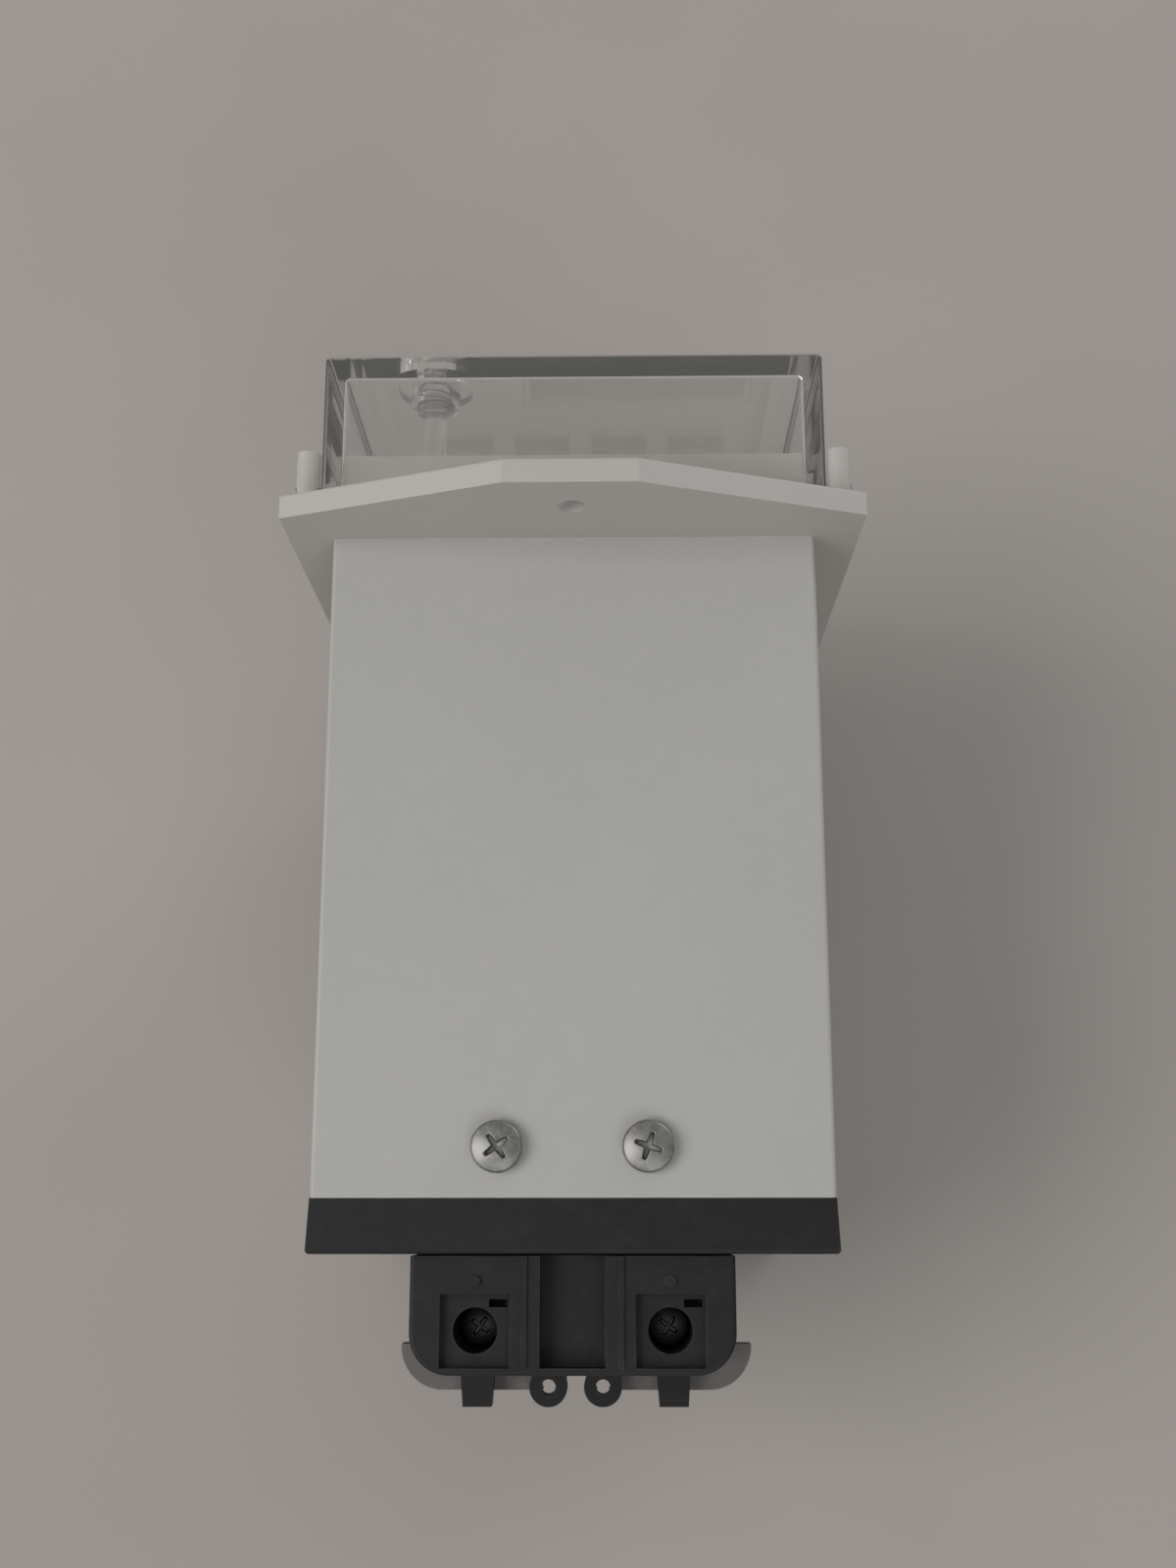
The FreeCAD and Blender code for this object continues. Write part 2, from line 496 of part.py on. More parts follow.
# Front circuit board on four stand-offs, with a switch behind each key and the button
SWITCH_FRONT = "-" + BOARD_FRONT + " - switch_tall"
switch_places = [(place, "-key_drop") for place in key_places]
switch_places.append(("reset_across", "front_tall / 2 - switch_size / 2"))
switches = [box(across, SWITCH_FRONT, up + " - switch_size / 2", "switch_size", "switch_tall", "switch_size")
            for across, up in switch_places]
node(group(*switches), "key_switches")
corners = [(a + "stand_across", b + "stand_up") for a in ("-", "") for b in ("-", "")]
board = box("0", "-" + BOARD_FRONT, "-(front_tall / 2)", "front_wide", "board_thick", "front_tall")
bores = [rod("small_thread", "board_thick", a, "-" + BOARD_FRONT, b, ALONG_Y) for a, b in corners]
node(cut(board, *bores), "front_board")
stands = []
for a, b in corners:
    post = rod("stand_round", "front_gap", a, "-" + FACE_BACK, b, ALONG_Y)
    stands.append(cut(post, rod("small_thread", "front_gap", a, "-" + FACE_BACK, b, ALONG_Y)))
node(group(*stands), "board_standoffs")

# Two boards stand upright in rails inside the case: the main board and the power board
RAIL_UP = "(case_tall / 2 - case_wall - rail_tall)"
BOARD_TALL = "(case_tall - 2 * case_wall - 2 * board_inset)"
rails = []
for across in ("main_across", "power_across"):
    for low in ("-(case_tall / 2 - case_wall)", RAIL_UP):
        rail = box(across, "board_first", low, "rail_wide", "board_long", "rail_tall")
        slot = box(across, "board_first", "-" + BOARD_TALL + " / 2", "board_thick", "board_long", BOARD_TALL)
        rails.append(cut(rail, slot))
node(group(*rails), "board_rails")
for label, across in (("main_board", "main_across"), ("power_board", "power_across")):
    node(box(across, "board_first", "-" + BOARD_TALL + " / 2", "board_thick", "board_long", BOARD_TALL),
         label)
MAIN_FACE = "(main_across - board_thick / 2)"
POWER_FACE = "(power_across + board_thick / 2)"


def on_main(high, first, low, long, tall):
    """Block standing on the main board's inner face; high is how far it stands off the board."""
    return box("%s - (%s) / 2" % (MAIN_FACE, high), first, low, high, long, tall)


def on_power(high, first, low, long, tall):
    """Block standing on the power board's inner face."""
    return box("%s + (%s) / 2" % (POWER_FACE, high), first, low, high, long, tall)


relay_places = ["relay_up - %d * relay_pitch" % step for step in range(3)]
node(group(*[on_main("relay_high", "relay_first", low, "relay_long", "relay_tall") for low in relay_places]),
     "output_relays")
CHIP_OVER = "(chip_up + chip_large + chip_small)"
node(group(on_main("chip_thick", "chip_first", "chip_up", "chip_large", "chip_large"),
           on_main("chip_thick", "chip_first", CHIP_OVER, "chip_small", "chip_small"),
           on_main("chip_thick", "chip_first + chip_large + chip_small", CHIP_OVER, "chip_small",
                   "chip_small"),
           on_main("power_chip_high", "power_chip_first", "-power_chip_drop", "power_chip_long",
                   "power_chip_tall")), "board_chips")
node(rod("cell_round", "cell_thick", MAIN_FACE + " - cell_thick", "cell_back", "-cell_drop", ALONG_X),
     "clock_battery")

# Mains transformer: a laminated core with two windows, and the coil around its middle leg
CORE_MIDDLE = "(" + POWER_FACE + " + core_high / 2)"
COIL_WIDE = "(core_high - 2 * core_yoke - 2 * coil_gap)"
COIL_TALL = "(core_leg + 2 * core_window - 2 * coil_gap)"
core = on_power("core_high", "core_first", "core_middle - core_tall / 2", "core_long", "core_tall")
windows = [box(CORE_MIDDLE, "core_first", low, "core_high - 2 * core_yoke", "core_long", "core_window")
           for low in ("core_middle - core_leg / 2 - core_window", "core_middle + core_leg / 2")]
node(cut(core, *windows), "transformer_core")
coil = box(CORE_MIDDLE, "core_first - coil_proud", "core_middle - " + COIL_TALL + " / 2", COIL_WIDE,
           "core_long + 2 * coil_proud", COIL_TALL)
leg = box(CORE_MIDDLE, "core_first", "core_middle - core_leg / 2", COIL_WIDE, "core_long", "core_leg")
node(cut(coil, leg), "transformer_coil")
tanks = [rod("tank_round", "tank_long", POWER_FACE, "tank_back", "tank_up - %d * tank_pitch" % step, ALONG_X)
         for step in range(2)]
cans = [rod("can_round", "can_long", POWER_FACE, "can_back", "can_up - %d * can_pitch" % step, ALONG_X)
        for step in range(2)]
node(group(*tanks, *cans), "filter_capacitors")
rings = []
for step in range(3):
    up = "ring_up - %d * ring_pitch" % step
    ring = rod("ring_round", "ring_high", POWER_FACE, "ring_back", up, ALONG_X)
    rings.append(cut(ring, rod("ring_hole", "ring_high", POWER_FACE, "ring_back", up, ALONG_X)))
node(group(*rings), "measuring_transformers")
node(group(on_main("header_flat", "header_first", "-ribbon_drop - header_end", "header_long",
                   "ribbon_wide + 2 * header_end"),
           on_main("header_high", "header_back", "header_up", "header_deep", "header_main"),
           on_power("header_high", "header_back", "header_up", "header_deep", "header_power")),
     "board_connectors")
node(box(MAIN_FACE + " - header_flat - ribbon_thick / 2", "-" + BOARD_FRONT + " + board_thick",
         "-ribbon_drop", "ribbon_thick", BOARD_FRONT + " - board_thick + header_first + header_long",
         "ribbon_wide"), "ribbon_cable")

# Rear plate: flares slightly towards its back, with a spigot inside the case and four screw lugs
rear = body("RearPlate")
drawing = sketch(rear, "PlateOutline", "XZ_Plane", "-case_deep")
frame_outline(drawing, "case_wide", "case_tall")
plate = pad(rear, drawing, "plate_thick", backwards=True)
bind(plate, TaperAngle="atan(plate_flare / plate_thick)")
doc.recompute()
rounded(rear, "plate_edge", lambda edge: lies_at(edge, 1, number(PLATE_BACK)))
drawing = sketch(rear, "SpigotOutline", "XZ_Plane", "-case_deep")
frame_outline(drawing, INNER_WIDE, INNER_TALL)
pad(rear, drawing, "spigot_deep")
drawing = sketch(rear, "SpigotHollow", "XZ_Plane", "-case_deep")
frame_outline(drawing, INNER_WIDE + " - 2 * spigot_wall", INNER_TALL + " - 2 * spigot_wall")
pocket(rear, drawing, "spigot_deep", backwards=True)
drawing = sketch(rear, "Lugs", "XZ_Plane", "-case_deep")
for side in ("-", ""):
    for end in ("-", ""):
        low = end + "(%s / 2 - spigot_wall - lug_tall)" % INNER_TALL
        high = end + "(%s / 2 - spigot_wall / 2)" % INNER_TALL
        near, far = side + "(screw_across - lug_wide / 2)", side + "(screw_across + lug_wide / 2)"
        rectangle(drawing, near, low, far, high)
pad(rear, drawing, "spigot_deep")
drawing = sketch(rear, "LugHoles", "XY_Plane")
for side in ("-", ""):
    circle(drawing, side + "screw_across", "case_deep - screw_back", "pan_thread")
pocket(rear, drawing)
drawing = sketch(rear, "BackOpenings", "XZ_Plane", "-" + PLATE_BACK)
frame_outline(drawing, "socket_wide + 2 * slip_gap", "socket_tall + 2 * slip_gap", up="plug_middle")
circle(drawing, "earth_across", "-earth_drop", "pan_thread")
pocket(rear, drawing, "plate_thick", backwards=True)
drawing = sketch(rear, "LabelSeat", "XZ_Plane", "-" + PLATE_BACK)
frame_outline(drawing, "label_wide", "label_tall", "label_across", "-earth_drop")
pocket(rear, drawing, "label_sink", backwards=True)
node(rear, "rear_plate")
node(box("label_across", PLATE_BACK + " - label_sink", "-earth_drop - label_tall / 2 + slip_gap",
         "label_wide - 2 * slip_gap", "label_thick", "label_tall - 2 * slip_gap"), "rating_label")

# Socket in the rear plate, with an upper and a lower contact spring around each blade of the plug
BLADE_PLACES = [(a + "well_across", "(plug_middle %s blade_up)" % b) for a in ("-", "") for b in ("-", "+")]
block = box("0", PLATE_BACK + " - socket_deep", "plug_middle - socket_tall / 2", "socket_wide", "socket_deep",
            "socket_tall")
flange = box("0", "case_deep - press_gap - rim_thick", "plug_middle - socket_tall / 2 - rim_over",
             "socket_wide + 2 * socket_rim", "rim_thick", "socket_tall + 2 * rim_over")
slots = [box(a, PLATE_BACK + " - socket_deep", b + " - slot_tall / 2", "slot_wide", "socket_deep",
             "slot_tall") for a, b in BLADE_PLACES]
node(cut(joined(block, flange), *slots), "plug_socket")
SPRING_TALL = "(slot_tall / 2 - blade_thick / 2 - contact_gap)"
springs = []
for a, b in BLADE_PLACES:
    for low in (b + " - slot_tall / 2", b + " + slot_tall / 2 - " + SPRING_TALL):
        springs.append(box(a, PLATE_BACK + " - socket_deep + contact_in", low, "blade_wide", "contact_long",
                           SPRING_TALL))
node(group(*springs), "socket_contacts")


def plug_shell(name, up):
    """One half of the plug's D-shaped shell, built upwards or downwards from the parting plane."""
    sign = "+" if up else "-"
    top = "plug_middle %s plug_half" % sign
    shell = body(name)
    drawing = sketch(shell, name + "Outline", "XY_Plane", "plug_middle")
    rectangle(drawing, "-(plug_wide / 2)", PLUG_FRONT, "plug_wide / 2", PLUG_BACK)
    pad(shell, drawing, "plug_half", backwards=not up)
    back, front_end, far_end = number(PLUG_BACK), number(PLUG_FRONT), number(top)
    rounded(shell, "plug_corner", lambda edge: runs_along(edge, 2) and lies_at(edge, 1, back))
    rounded(shell, "shell_edge", lambda edge: lies_at(edge, 2, far_end) and not lies_at(edge, 1, front_end))
    drawing = sketch(shell, name + "Cavity", "XY_Plane", "plug_middle")
    inside, bevel = "(plug_wide / 2 - shell_wall)", "(plug_wide / 2 - plug_corner)"
    first, last = PLUG_FRONT + " + shell_wall", PLUG_BACK + " - shell_wall"
    shoulder = PLUG_BACK + " - plug_corner"
    outline(drawing, [("-" + inside, first), (inside, first), (inside, shoulder), (bevel, last),
                      ("-" + bevel, last), ("-" + inside, shoulder)])
    pocket(shell, drawing, "plug_half - well_deep - shell_wall", backwards=up)
    drawing = sketch(shell, name + "Wells", "XY_Plane", top)
    for side in ("-", ""):
        frame_outline(drawing, "well_wide", "well_long", side + "well_across", WELL_MIDDLE)
    pocket(shell, drawing, "well_sink", backwards=not up)
    drawing = sketch(shell, name + "ScrewWells", "XY_Plane", top)
    for side in ("-", ""):
        circle(drawing, side + "well_across", WELL_MIDDLE, "well_round")
    pocket(shell, drawing, "well_deep", backwards=not up)
    drawing = sketch(shell, name + "Slits", "XY_Plane", top)
    for side in ("-", ""):
        frame_outline(drawing, "slit_wide", "slit_long", side + "well_across - slit_aside",
                      WELL_MIDDLE + " - well_long / 2 + slit_in + slit_long / 2")
    pocket(shell, drawing, "well_sink + slit_deep", backwards=not up)
    drawing = sketch(shell, name + "ScrewHoles", "XY_Plane", top)
    for side in ("-", ""):
        circle(drawing, side + "well_across", WELL_MIDDLE, "clamp_thread + hole_gap")
    pocket(shell, drawing, "plug_half", backwards=not up)
    drawing = sketch(shell, name + "Ditch", "XY_Plane", top)
    rectangle(drawing, "-(ditch_wide / 2)", PLUG_FRONT, "ditch_wide / 2", PLUG_BACK + " - well_back")
    pocket(shell, drawing, "ditch_deep", backwards=not up)
    drawing = sketch(shell, name + "Slots", "XZ_Plane", "-" + PLUG_FRONT)
    for side in ("-", ""):
        frame_outline(drawing, "blade_wide + 2 * slip_gap", "2 * blade_thick", side + "well_across",
                      "plug_middle %s blade_up" % sign)
    pocket(shell, drawing, "shell_wall")
    return shell


upper = plug_shell("PlugUpper", True)
drawing = sketch(upper, "Beads", "XY_Plane", "plug_middle + plug_half")
for side in ("-", ""):
    circle(drawing, side + "well_across", WELL_MIDDLE + " - well_long / 2 - bead_before", "bead_round")
pad(upper, drawing, "bead_tall")
drawing = sketch(upper, "PullTabs", "XY_Plane", "plug_middle")
for side in ("-", ""):
    outline(drawing, [(side + "(tab_across - tab_root / 2)", PLUG_BACK + " - ear_root"),
                      (side + "(tab_across + tab_root / 2)", PLUG_BACK + " - ear_root"),
                      (side + "(tab_across + tab_tip / 2)", PLUG_BACK + " + tab_out"),
                      (side + "(tab_across - tab_tip / 2)", PLUG_BACK + " + tab_out")])
pad(upper, drawing, "tab_thick")
for side in ("-", ""):
    drawing = sketch(upper, "Eyelet", "XY_Plane", "plug_middle")
    circle(drawing, side + "eyelet_across", PLUG_BACK + " + eyelet_out", "eyelet_round")
    pad(upper, drawing, "eyelet_thick")
    drawing = sketch(upper, "EyeletNeck", "XY_Plane", "plug_middle")
    rectangle(drawing, side + "(eyelet_across - eyelet_round)", PLUG_BACK + " - ear_root",
              side + "(eyelet_across + eyelet_round)", PLUG_BACK + " + eyelet_neck")
    pad(upper, drawing, "eyelet_thick")
for side in ("-", ""):
    drawing = sketch(upper, "DitchRib", "XY_Plane", "plug_middle + plug_half - rib_root")
    rectangle(drawing, side + "(rib_across - rib_wide / 2)", PLUG_FRONT, side + "(rib_across + rib_wide / 2)",
              PLUG_BACK + " - well_back")
    pad(upper, drawing, "rib_root + rib_tall")

# The lower half carries the lip that stands out behind and beside the plug, notched in the middle
lower = plug_shell("PlugLower", False)
drawing = sketch(lower, "RearLip", "XY_Plane", "plug_middle")
rectangle(drawing, "-(lip_wide / 2)", PLUG_BACK + " - lip_front", "lip_wide / 2", PLUG_BACK + " + lip_out")
pad(lower, drawing, "lip_thick", backwards=True)
lip_back = number(PLUG_BACK + " + lip_out")
rounded(lower, "lip_corner", lambda edge: runs_along(edge, 2) and lies_at(edge, 1, lip_back))
drawing = sketch(lower, "LipNotch", "XY_Plane", "plug_middle")
rectangle(drawing, "-(lip_notch / 2)", PLUG_BACK, "lip_notch / 2", PLUG_BACK + " + 2 * lip_out")
pocket(lower, drawing, "lip_thick")
for shell in (upper, lower):
    drawing = sketch(shell, "SealHoles", "XY_Plane")
    for side in ("-", ""):
        circle(drawing, side + "eyelet_across", PLUG_BACK + " + eyelet_out", "eyelet_hole")
    pocket(shell, drawing)
node(upper, "plug_upper_shell")
node(lower, "plug_lower_shell")

# Blades and clamps of the plug, one pair above and one below the parting plane
CLAMP_TALL = "(plug_half - well_deep - shell_wall - clamp_gap)"
clamps, blades = [], []
for a, b in BLADE_PLACES:
    low = "plug_middle + clamp_gap" if "+" in b else "plug_middle - clamp_gap - " + CLAMP_TALL
    clamp = box(a, WELL_MIDDLE + " - clamp_size / 2", low, "clamp_size", "clamp_size", CLAMP_TALL)
    clamps.append(cut(clamp, rod("clamp_thread", CLAMP_TALL, a, WELL_MIDDLE, low)))
    blades.append(box(a, PLUG_FRONT + " - blade_long", b + " - blade_thick / 2", "blade_wide",
                      WELL_MIDDLE + " - clamp_size / 2 - " + PLUG_FRONT + " + blade_long", "blade_thick"))
node(group(*clamps), "terminal_clamps")
node(group(*blades), "plug_blades")


def pan_screw(kind, long, x, y, z, turn=None, twist=0):
    """Cross-recess pan-head screw with its seat at the given point, its head up or as turned."""
    thread, head, tall = (kind + "_" + part for part in ("thread", "head", "tall"))
    dome = doc.addObject("Part::Sphere", "Dome")
    bind(dome, Radius="dome_share * " + head)
    move(dome, z="%s - dome_share * %s" % (tall, head))
    barrel = rod(head, tall, "0", "0", "0")
    crown = doc.addObject("Part::MultiCommon", "Crown")
    crown.Shapes = [barrel, dome]
    shank = rod(thread, "%s + %s / 2" % (long, tall), "0", "0", "-(%s)" % long)
    arms = []
    for quarter in (0, 90):
        arm = doc.addObject("Part::Box", "Arm")
        bind(arm, Length="arm_share * " + head, Width="arm_thin * " + head, Height=tall)
        heading = Rotation(Vector(0, 0, 1), quarter + twist)
        arm.Placement = Placement(Vector(), heading)
        along, beside = heading.multVec(Vector(1, 0, 0)), heading.multVec(Vector(0, 1, 0))
        for letter, ahead, aside in zip("xy", along, beside):
            formula = "-(%.6f * arm_share + %.6f * arm_thin) / 2 * %s" % (ahead, aside, head)
            arm.setExpression("Placement.Base." + letter, linked(formula))
        arm.setExpression("Placement.Base.z", linked(tall + " / 2"))
        arms.append(arm)
    return move(cut(joined(crown, shank), *arms), x, y, z, turn)


case_screws = []
for twist, side in ((20, "-"), (52, "")):
    for high, turn in (("case_tall / 2", None), ("-(case_tall / 2)", DOWNWARD)):
        case_screws.append(pan_screw("pan", "screw_long", side + "screw_across", "case_deep - screw_back",
                                     high, turn, twist))
node(group(*case_screws), "case_screws")
terminal_screws = []
for side in ("-", ""):
    for sign, turn in (("+", None), ("-", DOWNWARD)):
        seat = "plug_middle %s (plug_half - well_deep)" % sign
        terminal_screws.append(pan_screw("clamp", "well_deep / 2", side + "well_across", WELL_MIDDLE, seat,
                                         turn, 35))
node(group(*terminal_screws), "terminal_screws")
node(group(*[pan_screw("small", "board_thick + small_long", a, "-" + BOARD_FRONT + " + board_thick", b,
                       ALONG_Y) for a, b in corners]), "front_board_screws")
washer = rod("washer_round", "washer_thick", "earth_across", PLATE_BACK, "-earth_drop", ALONG_Y)
bore = rod("pan_thread", "washer_thick", "earth_across", PLATE_BACK, "-earth_drop", ALONG_Y)
node(cut(washer, bore), "earth_washer")
node(pan_screw("pan", "plate_thick", "earth_across", PLATE_BACK + " + washer_thick", "-earth_drop", ALONG_Y),
     "earth_screw")

doc.recompute()
for item in doc.Objects:
    if "Invalid" in item.State or "Error" in item.State:
        raise RuntimeError("%s failed: %s" % (item.Name, item.State))
for item in NODES:
    if item.Shape.isNull() or not item.Shape.isValid():
        raise RuntimeError(item.Label + " has no valid shape")
os.makedirs("parts", exist_ok=True)
for item in NODES:
    item.Shape.exportStep("parts/%s.step" % item.Label)
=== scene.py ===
import math

import bpy
import numpy as np
from mathutils import Matrix, Vector


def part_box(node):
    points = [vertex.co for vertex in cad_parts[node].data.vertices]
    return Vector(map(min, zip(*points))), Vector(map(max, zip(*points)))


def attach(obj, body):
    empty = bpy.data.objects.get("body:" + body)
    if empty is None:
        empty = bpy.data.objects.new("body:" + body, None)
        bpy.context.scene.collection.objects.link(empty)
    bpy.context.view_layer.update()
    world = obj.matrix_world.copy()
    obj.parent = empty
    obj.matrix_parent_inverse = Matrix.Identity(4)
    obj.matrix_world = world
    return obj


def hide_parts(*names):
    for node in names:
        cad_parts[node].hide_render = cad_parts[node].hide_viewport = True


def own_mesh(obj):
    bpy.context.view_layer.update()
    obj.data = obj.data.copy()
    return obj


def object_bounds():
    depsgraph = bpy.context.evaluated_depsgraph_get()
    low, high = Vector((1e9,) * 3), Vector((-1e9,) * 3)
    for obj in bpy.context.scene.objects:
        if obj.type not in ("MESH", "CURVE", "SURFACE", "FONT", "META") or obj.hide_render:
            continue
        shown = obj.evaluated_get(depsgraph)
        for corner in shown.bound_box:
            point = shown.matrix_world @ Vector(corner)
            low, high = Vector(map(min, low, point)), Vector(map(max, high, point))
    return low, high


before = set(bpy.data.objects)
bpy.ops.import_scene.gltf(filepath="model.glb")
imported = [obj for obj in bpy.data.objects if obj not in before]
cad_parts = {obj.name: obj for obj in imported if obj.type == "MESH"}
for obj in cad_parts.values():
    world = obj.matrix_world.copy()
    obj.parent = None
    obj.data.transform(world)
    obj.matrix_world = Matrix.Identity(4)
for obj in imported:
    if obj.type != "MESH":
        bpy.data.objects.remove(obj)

cad_low, cad_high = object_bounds()
scene = bpy.context.scene

# ---- Camera --------------------------------------------------------------------------------------
# A phone held over the back of the meter, looking down and forward past the terminal plug to the
# clear cover. The frame is upright, 3 wide by 4 tall.
SENSOR_LONG = 36.0
FOCAL = 39.71
eye = Vector((-0.0064, 0.1095, 0.3216))
ahead = Vector((0.0142, -0.2380, -0.9712)).normalized()
down = Vector((0.0040, 0.9713, -0.2379))
across = down.cross(ahead).normalized()
down = ahead.cross(across)
camera_data = bpy.data.cameras.new("camera")
camera_data.sensor_fit = "AUTO"
camera_data.sensor_width = SENSOR_LONG
camera_data.lens = FOCAL
camera = bpy.data.objects.new("camera", camera_data)
scene.collection.objects.link(camera)
camera.matrix_world = Matrix.Translation(eye) @ Matrix((across, -down, -ahead)).transposed().to_4x4()
scene.camera = camera


# ---- Floor ---------------------------------------------------------------------------------------
# A plain pale table top. The meter leans on the lower hump of its flange and on the bottom edge of
# its rear plate, so the table lies at a slope to the meter's own frame.
def start_material(name):
    """New node material, with its Principled shader and Object coordinates."""
    material = bpy.data.materials.new(name)
    material.use_nodes = True
    nodes, links = material.node_tree.nodes, material.node_tree.links
    shader = next(node for node in nodes if node.type == "BSDF_PRINCIPLED")
    coords = nodes.new("ShaderNodeTexCoord").outputs["Object"]
    return material, nodes, links, shader, coords


def smooth_noise(nodes, links, coords, scale, detail=3.0, rough=0.5, stretch=(1, 1, 1)):
    """Noise texture on the given coordinates, stretched by a Mapping node."""
    mapping = nodes.new("ShaderNodeMapping")
    mapping.inputs["Scale"].default_value = stretch
    links.new(coords, mapping.inputs["Vector"])
    noise = nodes.new("ShaderNodeTexNoise")
    noise.inputs["Scale"].default_value = scale
    noise.inputs["Detail"].default_value = detail
    noise.inputs["Roughness"].default_value = rough
    links.new(mapping.outputs["Vector"], noise.inputs["Vector"])
    return noise.outputs["Fac"]


def ramp(nodes, links, factor, stops):
    """Colour ramp fed by a factor; stops are (place, colour) pairs."""
    node = nodes.new("ShaderNodeValToRGB")
    elements = node.color_ramp.elements
    while len(elements) < len(stops):
        elements.new(0.5)
    for element, (place, colour) in zip(elements, stops):
        element.position = place
        element.color = (*colour, 1.0)
    links.new(factor, node.inputs["Fac"])
    return node.outputs["Color"]


def remap(nodes, links, value, low, high, to_low=0.0, to_high=1.0):
    """Straight-line change of a value from low..high to to_low..to_high, held at both ends."""
    node = nodes.new("ShaderNodeMapRange")
    for name, number in (("From Min", low), ("From Max", high), ("To Min", to_low), ("To Max", to_high)):
        node.inputs[name].default_value = number
    links.new(value, node.inputs["Value"])
    return node.outputs["Result"]


def mix_colour(nodes, links, factor, first, second):
    """Blend two colours, each a socket or a plain colour, by a factor socket."""
    mix = nodes.new("ShaderNodeMix")
    mix.data_type = "RGBA"
    links.new(factor, mix.inputs[0])
    for socket, value in ((mix.inputs[6], first), (mix.inputs[7], second)):
        if isinstance(value, bpy.types.NodeSocket):
            links.new(value, socket)
        else:
            socket.default_value = (*value, 1.0)
    return mix.outputs[2]


def tinted(colour, share):
    """A colour times a share."""
    return [channel * share for channel in colour]


flange_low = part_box("front_frame")[0]
plate_low, plate_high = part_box("rear_plate")
case_low, case_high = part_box("case_tube")
foot_front = Vector((0, case_low.y, flange_low.z))
foot_back = Vector((0, plate_high.y, plate_low.z))
table_run = (foot_back - foot_front).normalized()
table_up = Vector((1, 0, 0)).cross(table_run).normalized()
TABLE_HALF = 6.0
TABLE_GAP = 0.0002
table_centre = foot_front - table_up * TABLE_GAP
corners = [table_centre + Vector((1, 0, 0)) * a * TABLE_HALF + table_run * b * TABLE_HALF
           for a, b in ((-1, -1), (1, -1), (1, 1), (-1, 1))]
table_mesh = bpy.data.meshes.new("table")
table_mesh.from_pydata([tuple(corner) for corner in corners], [], [(0, 1, 2, 3)])
table = bpy.data.objects.new("table", table_mesh)
scene.collection.objects.link(table)

TABLE_COLOUR = (0.405, 0.376, 0.352)
FAR_COLOUR = (0.9, 0.9, 0.9)
FAR_START, FAR_END = 0.5, 3.5
material, nodes, links, shader, coords = start_material("pale_table")
tone = smooth_noise(nodes, links, coords, 9.0, 2.0)
near_tone = ramp(nodes, links, tone, [(0.3, tinted(TABLE_COLOUR, 0.97)), (0.7, tinted(TABLE_COLOUR, 1.02))])
distance = nodes.new("ShaderNodeVectorMath")
distance.operation = "LENGTH"
links.new(coords, distance.inputs[0])
away = remap(nodes, links, distance.outputs["Value"], FAR_START, FAR_END)
links.new(mix_colour(nodes, links, away, near_tone, FAR_COLOUR), shader.inputs["Base Color"])
shader.inputs["Roughness"].default_value = 0.75
shader.inputs["Specular IOR Level"].default_value = 0.25
table_mesh.materials.append(material)


# ---- Light ---------------------------------------------------------------------------------------
# Soft room light: one broad panel high on the side of the push rod, a weaker one behind the camera,
# a low one that reaches the front panel, and an even pale surround.
def light_panel(name, offset, size, power, colour):
    """Square area lamp at an offset from the object's middle, turned to it."""
    middle = (cad_low + cad_high) / 2
    data = bpy.data.lights.new(name, "AREA")
    data.shape = "SQUARE"
    data.size = size
    data.energy = power
    data.color = colour
    lamp = bpy.data.objects.new(name, data)
    scene.collection.objects.link(lamp)
    lamp.location = middle + Vector(offset)
    lamp.rotation_mode = "QUATERNION"
    lamp.rotation_quaternion = (-Vector(offset)).to_track_quat("-Z", "Y")


light_panel("side_panel", (1.9, 0.3, 2.1), 1.8, 43.0, (1.0, 0.985, 0.97))
light_panel("rear_panel", (-0.8, 2.2, 2.4), 1.6, 18.0, (0.98, 0.99, 1.0))
light_panel("front_panel", (-2.0, -2.3, 0.05), 1.4, 30.0, (1.0, 1.0, 1.0))
SURROUND = (0.93, 0.93, 0.94)
world = bpy.data.worlds.new("surround")
world.use_nodes = True
world.node_tree.nodes["Background"].inputs["Color"].default_value = (*SURROUND, 1.0)
world.node_tree.nodes["Background"].inputs["Strength"].default_value = 0.38
scene.world = world
scene.view_settings.view_transform = "Standard"


# ---- Case, front frame and posts -----------------------------------------------------------------
# Light-grey glass-filled plastic with the fine matt texture of a spark-eroded mould. Handling has
# left faint smears and rubbed edges on it, and dust lies on what faces up.
def start_group(name, inputs, outputs):
    """New shader node group with a Vector input, float inputs and float outputs."""
    group = bpy.data.node_groups.new(name, "ShaderNodeTree")
    group.interface.new_socket(name="Vector", in_out="INPUT", socket_type="NodeSocketVector")
    for names, way in ((inputs, "INPUT"), (outputs, "OUTPUT")):
        for socket in names:
            group.interface.new_socket(name=socket, in_out=way, socket_type="NodeSocketFloat")
    nodes = group.nodes
    return group, nodes, group.links, nodes.new("NodeGroupInput"), nodes.new("NodeGroupOutput")


def multiply(nodes, links, first, second):
    """Product of two value sockets."""
    node = nodes.new("ShaderNodeMath")
    node.operation = "MULTIPLY"
    links.new(first, node.inputs[0])
    links.new(second, node.inputs[1])
    return node.outputs[0]


